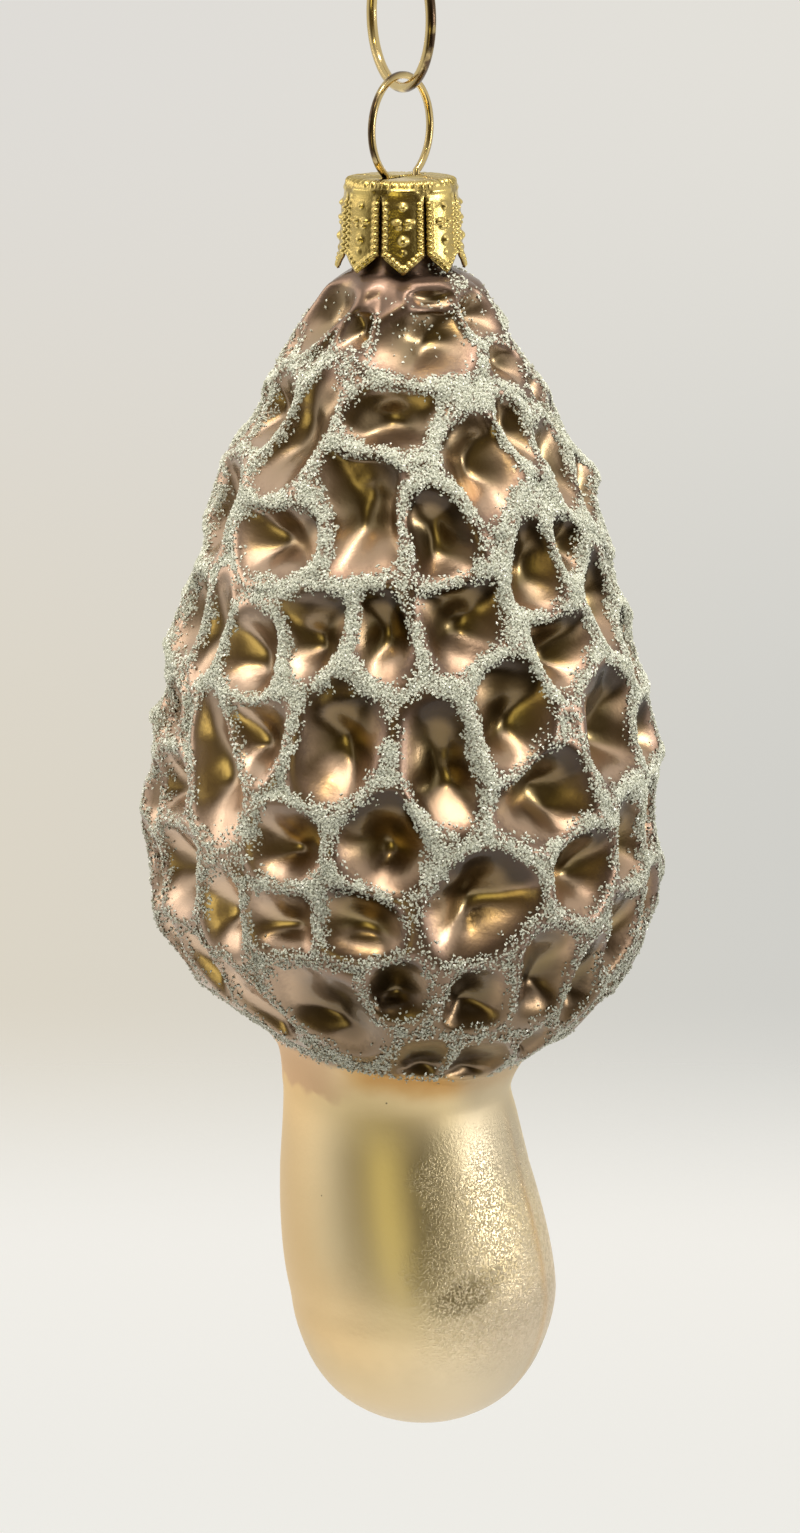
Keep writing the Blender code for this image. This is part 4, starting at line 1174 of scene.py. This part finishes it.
def make_backdrop():
    """A sheet far behind, warmer on the left and greyer on the right, seen only directly."""
    shape = bmesh.new()
    upright = Matrix.Rotation(math.pi / 2, 4, "X")
    bmesh.ops.create_grid(shape, x_segments=60, y_segments=60, size=BACKDROP_HALF_M,
                          matrix=Matrix.Translation(BACKDROP_MIDDLE_M) @ upright)
    mesh = mesh_from(shape, "backdrop")
    points = coordinates(mesh) * MM
    aside = points[:, 0] - BACKDROP_MIDDLE_M[0]
    above = points[:, 2] - BACKDROP_MIDDLE_M[2]
    set_values(mesh, "right", smooth_step(aside, *BACKDROP_RIGHT_M))
    set_values(mesh, "up", smooth_step(above, *BACKDROP_UP_M))
    set_values(mesh, "edge", smooth_step(np.hypot(aside, above), 0.7 * BACKDROP_HALF_M, BACKDROP_HALF_M))
    finish = glowing("backdrop")
    right = finish.attribute("right")
    low, high = (finish.mix(right, *pair) for pair in (BACKDROP_LOW, BACKDROP_HIGH))
    colour = finish.mix(finish.attribute("up"), low, high)
    finish.feed(Emission_Color=finish.mix(finish.attribute("edge"), colour, WALL_COLOUR))
    backdrop = stage_piece("backdrop", mesh, finish.material)
    backdrop.visible_diffuse = backdrop.visible_glossy = False
    backdrop.visible_shadow = backdrop.visible_transmission = False


def on_room(turn_deg, elevation, reach=ROOM_REACH_M):
    """A place round the ornament: degrees from the front, and above the horizon."""
    turn, tilt = math.radians(turn_deg), math.radians(elevation)
    return ROOM_MIDDLE_M + reach * Vector((math.sin(turn) * math.cos(tilt),
                                           -math.cos(turn) * math.cos(tilt), math.sin(tilt)))


def make_room():
    """Part of a dome round the front that only shows in reflections, as a dim room does.

    Towards its rim its colour fades to the wall's, and a doorway in it is brighter. A lower part of
    it, the annex, goes on round to the right.
    """
    shape = bmesh.new()
    low, high = ROOM_ELEVATIONS
    columns, rows = ROOM_GRID
    arc = [shape.verts.new(on_room(ROOM_TURNS[0], low + (high - low) * i / rows)) for i in range(rows + 1)]
    edges = [shape.edges.new(pair) for pair in zip(arc, arc[1:])]
    bmesh.ops.spin(shape, geom=arc + edges, cent=ROOM_MIDDLE_M, axis=(0, 0, 1),
                   angle=math.radians(ROOM_TURNS[1] - ROOM_TURNS[0]), steps=columns)
    mesh = mesh_from(shape, "room")
    away = coordinates(mesh) * MM - np.array(ROOM_MIDDLE_M)
    turn = np.degrees(np.arctan2(away[:, 0], -away[:, 1]))
    tilt = np.degrees(np.arcsin(away[:, 2] / ROOM_REACH_M))
    bottom = smooth_step(tilt, low, low + ROOM_LOW_FADE)
    inner = (smooth_step(turn, *ROOM_LEFT) * smooth_step(-turn, *ROOM_RIGHT)
             * bottom * smooth_step(-tilt, -high, ROOM_TOP))
    annex = (smooth_step(turn, *ANNEX_LEFT) * smooth_step(-turn, *ANNEX_RIGHT)
             * bottom * smooth_step(-tilt, *ANNEX_TOP))
    set_values(mesh, "edge", 1 - np.maximum(inner, annex))
    beside_door = (turn - DOOR_PLACE[0]) / DOOR_SIZE[0]
    over_door = (tilt - DOOR_PLACE[1]) / DOOR_SIZE[1]
    set_values(mesh, "door", np.exp(-beside_door ** 2) * np.exp(-over_door ** 4))
    finish = glowing("room")
    colour = finish.mix(finish.step(finish.noise(120.0, 2.0), 0.35, 0.65), ROOM_LIGHTER, ROOM_DARKER)
    colour = finish.mix(finish.attribute("door"), colour, DOOR_COLOUR)
    finish.feed(Emission_Color=finish.mix(finish.attribute("edge"), colour, WALL_COLOUR))
    room = stage_piece("room", mesh, finish.material)
    room.visible_camera = room.visible_diffuse = False
    room.visible_shadow = room.visible_transmission = False


def make_light(name, turn_deg, elevation, reach_m, size_m, watts, colour):
    data = bpy.data.lights.new(name, "AREA")
    data.shape = "RECTANGLE"
    data.size, data.size_y = size_m
    data.energy = watts
    data.color = colour
    light = bpy.data.objects.new(name, data)
    light.location = on_room(turn_deg, elevation, reach_m)
    towards = Vector(LIT_PLACE_M)
    light.rotation_euler = (light.location - towards).to_track_quat("Z", "Y").to_euler()
    bpy.context.scene.collection.objects.link(light)


def make_world():
    world = bpy.data.worlds.new("studio")
    world.use_nodes = True
    background = world.node_tree.nodes["Background"]
    background.inputs["Color"].default_value = WALL_COLOUR
    background.inputs["Strength"].default_value = 1.0
    bpy.context.scene.world = world


def make_camera():
    data = bpy.data.cameras.new("camera")
    data.lens = data.sensor_width * CAMERA_DISTANCE_M / VIEW_HEIGHT_M
    data.clip_start = 0.01
    data.clip_end = 20
    camera = bpy.data.objects.new("camera", data)
    tilt = math.radians(CAMERA_ELEVATION)
    away = Vector((0, -math.cos(tilt), math.sin(tilt)))
    camera.location = CAMERA_TARGET_M + away * CAMERA_DISTANCE_M
    camera.rotation_euler = away.to_track_quat("Z", "Y").to_euler()
    bpy.context.scene.collection.objects.link(camera)
    bpy.context.scene.camera = camera


def make_stage():
    make_floor()
    make_backdrop()
    make_world()
    for light in LIGHTS:
        make_light(*light)
    make_room()
    make_camera()


bpy.context.scene.view_settings.view_transform = "Standard"
make_stage()
skin = make_skin()
make_frost(skin)
make_crown()
make_ring()
make_loop()
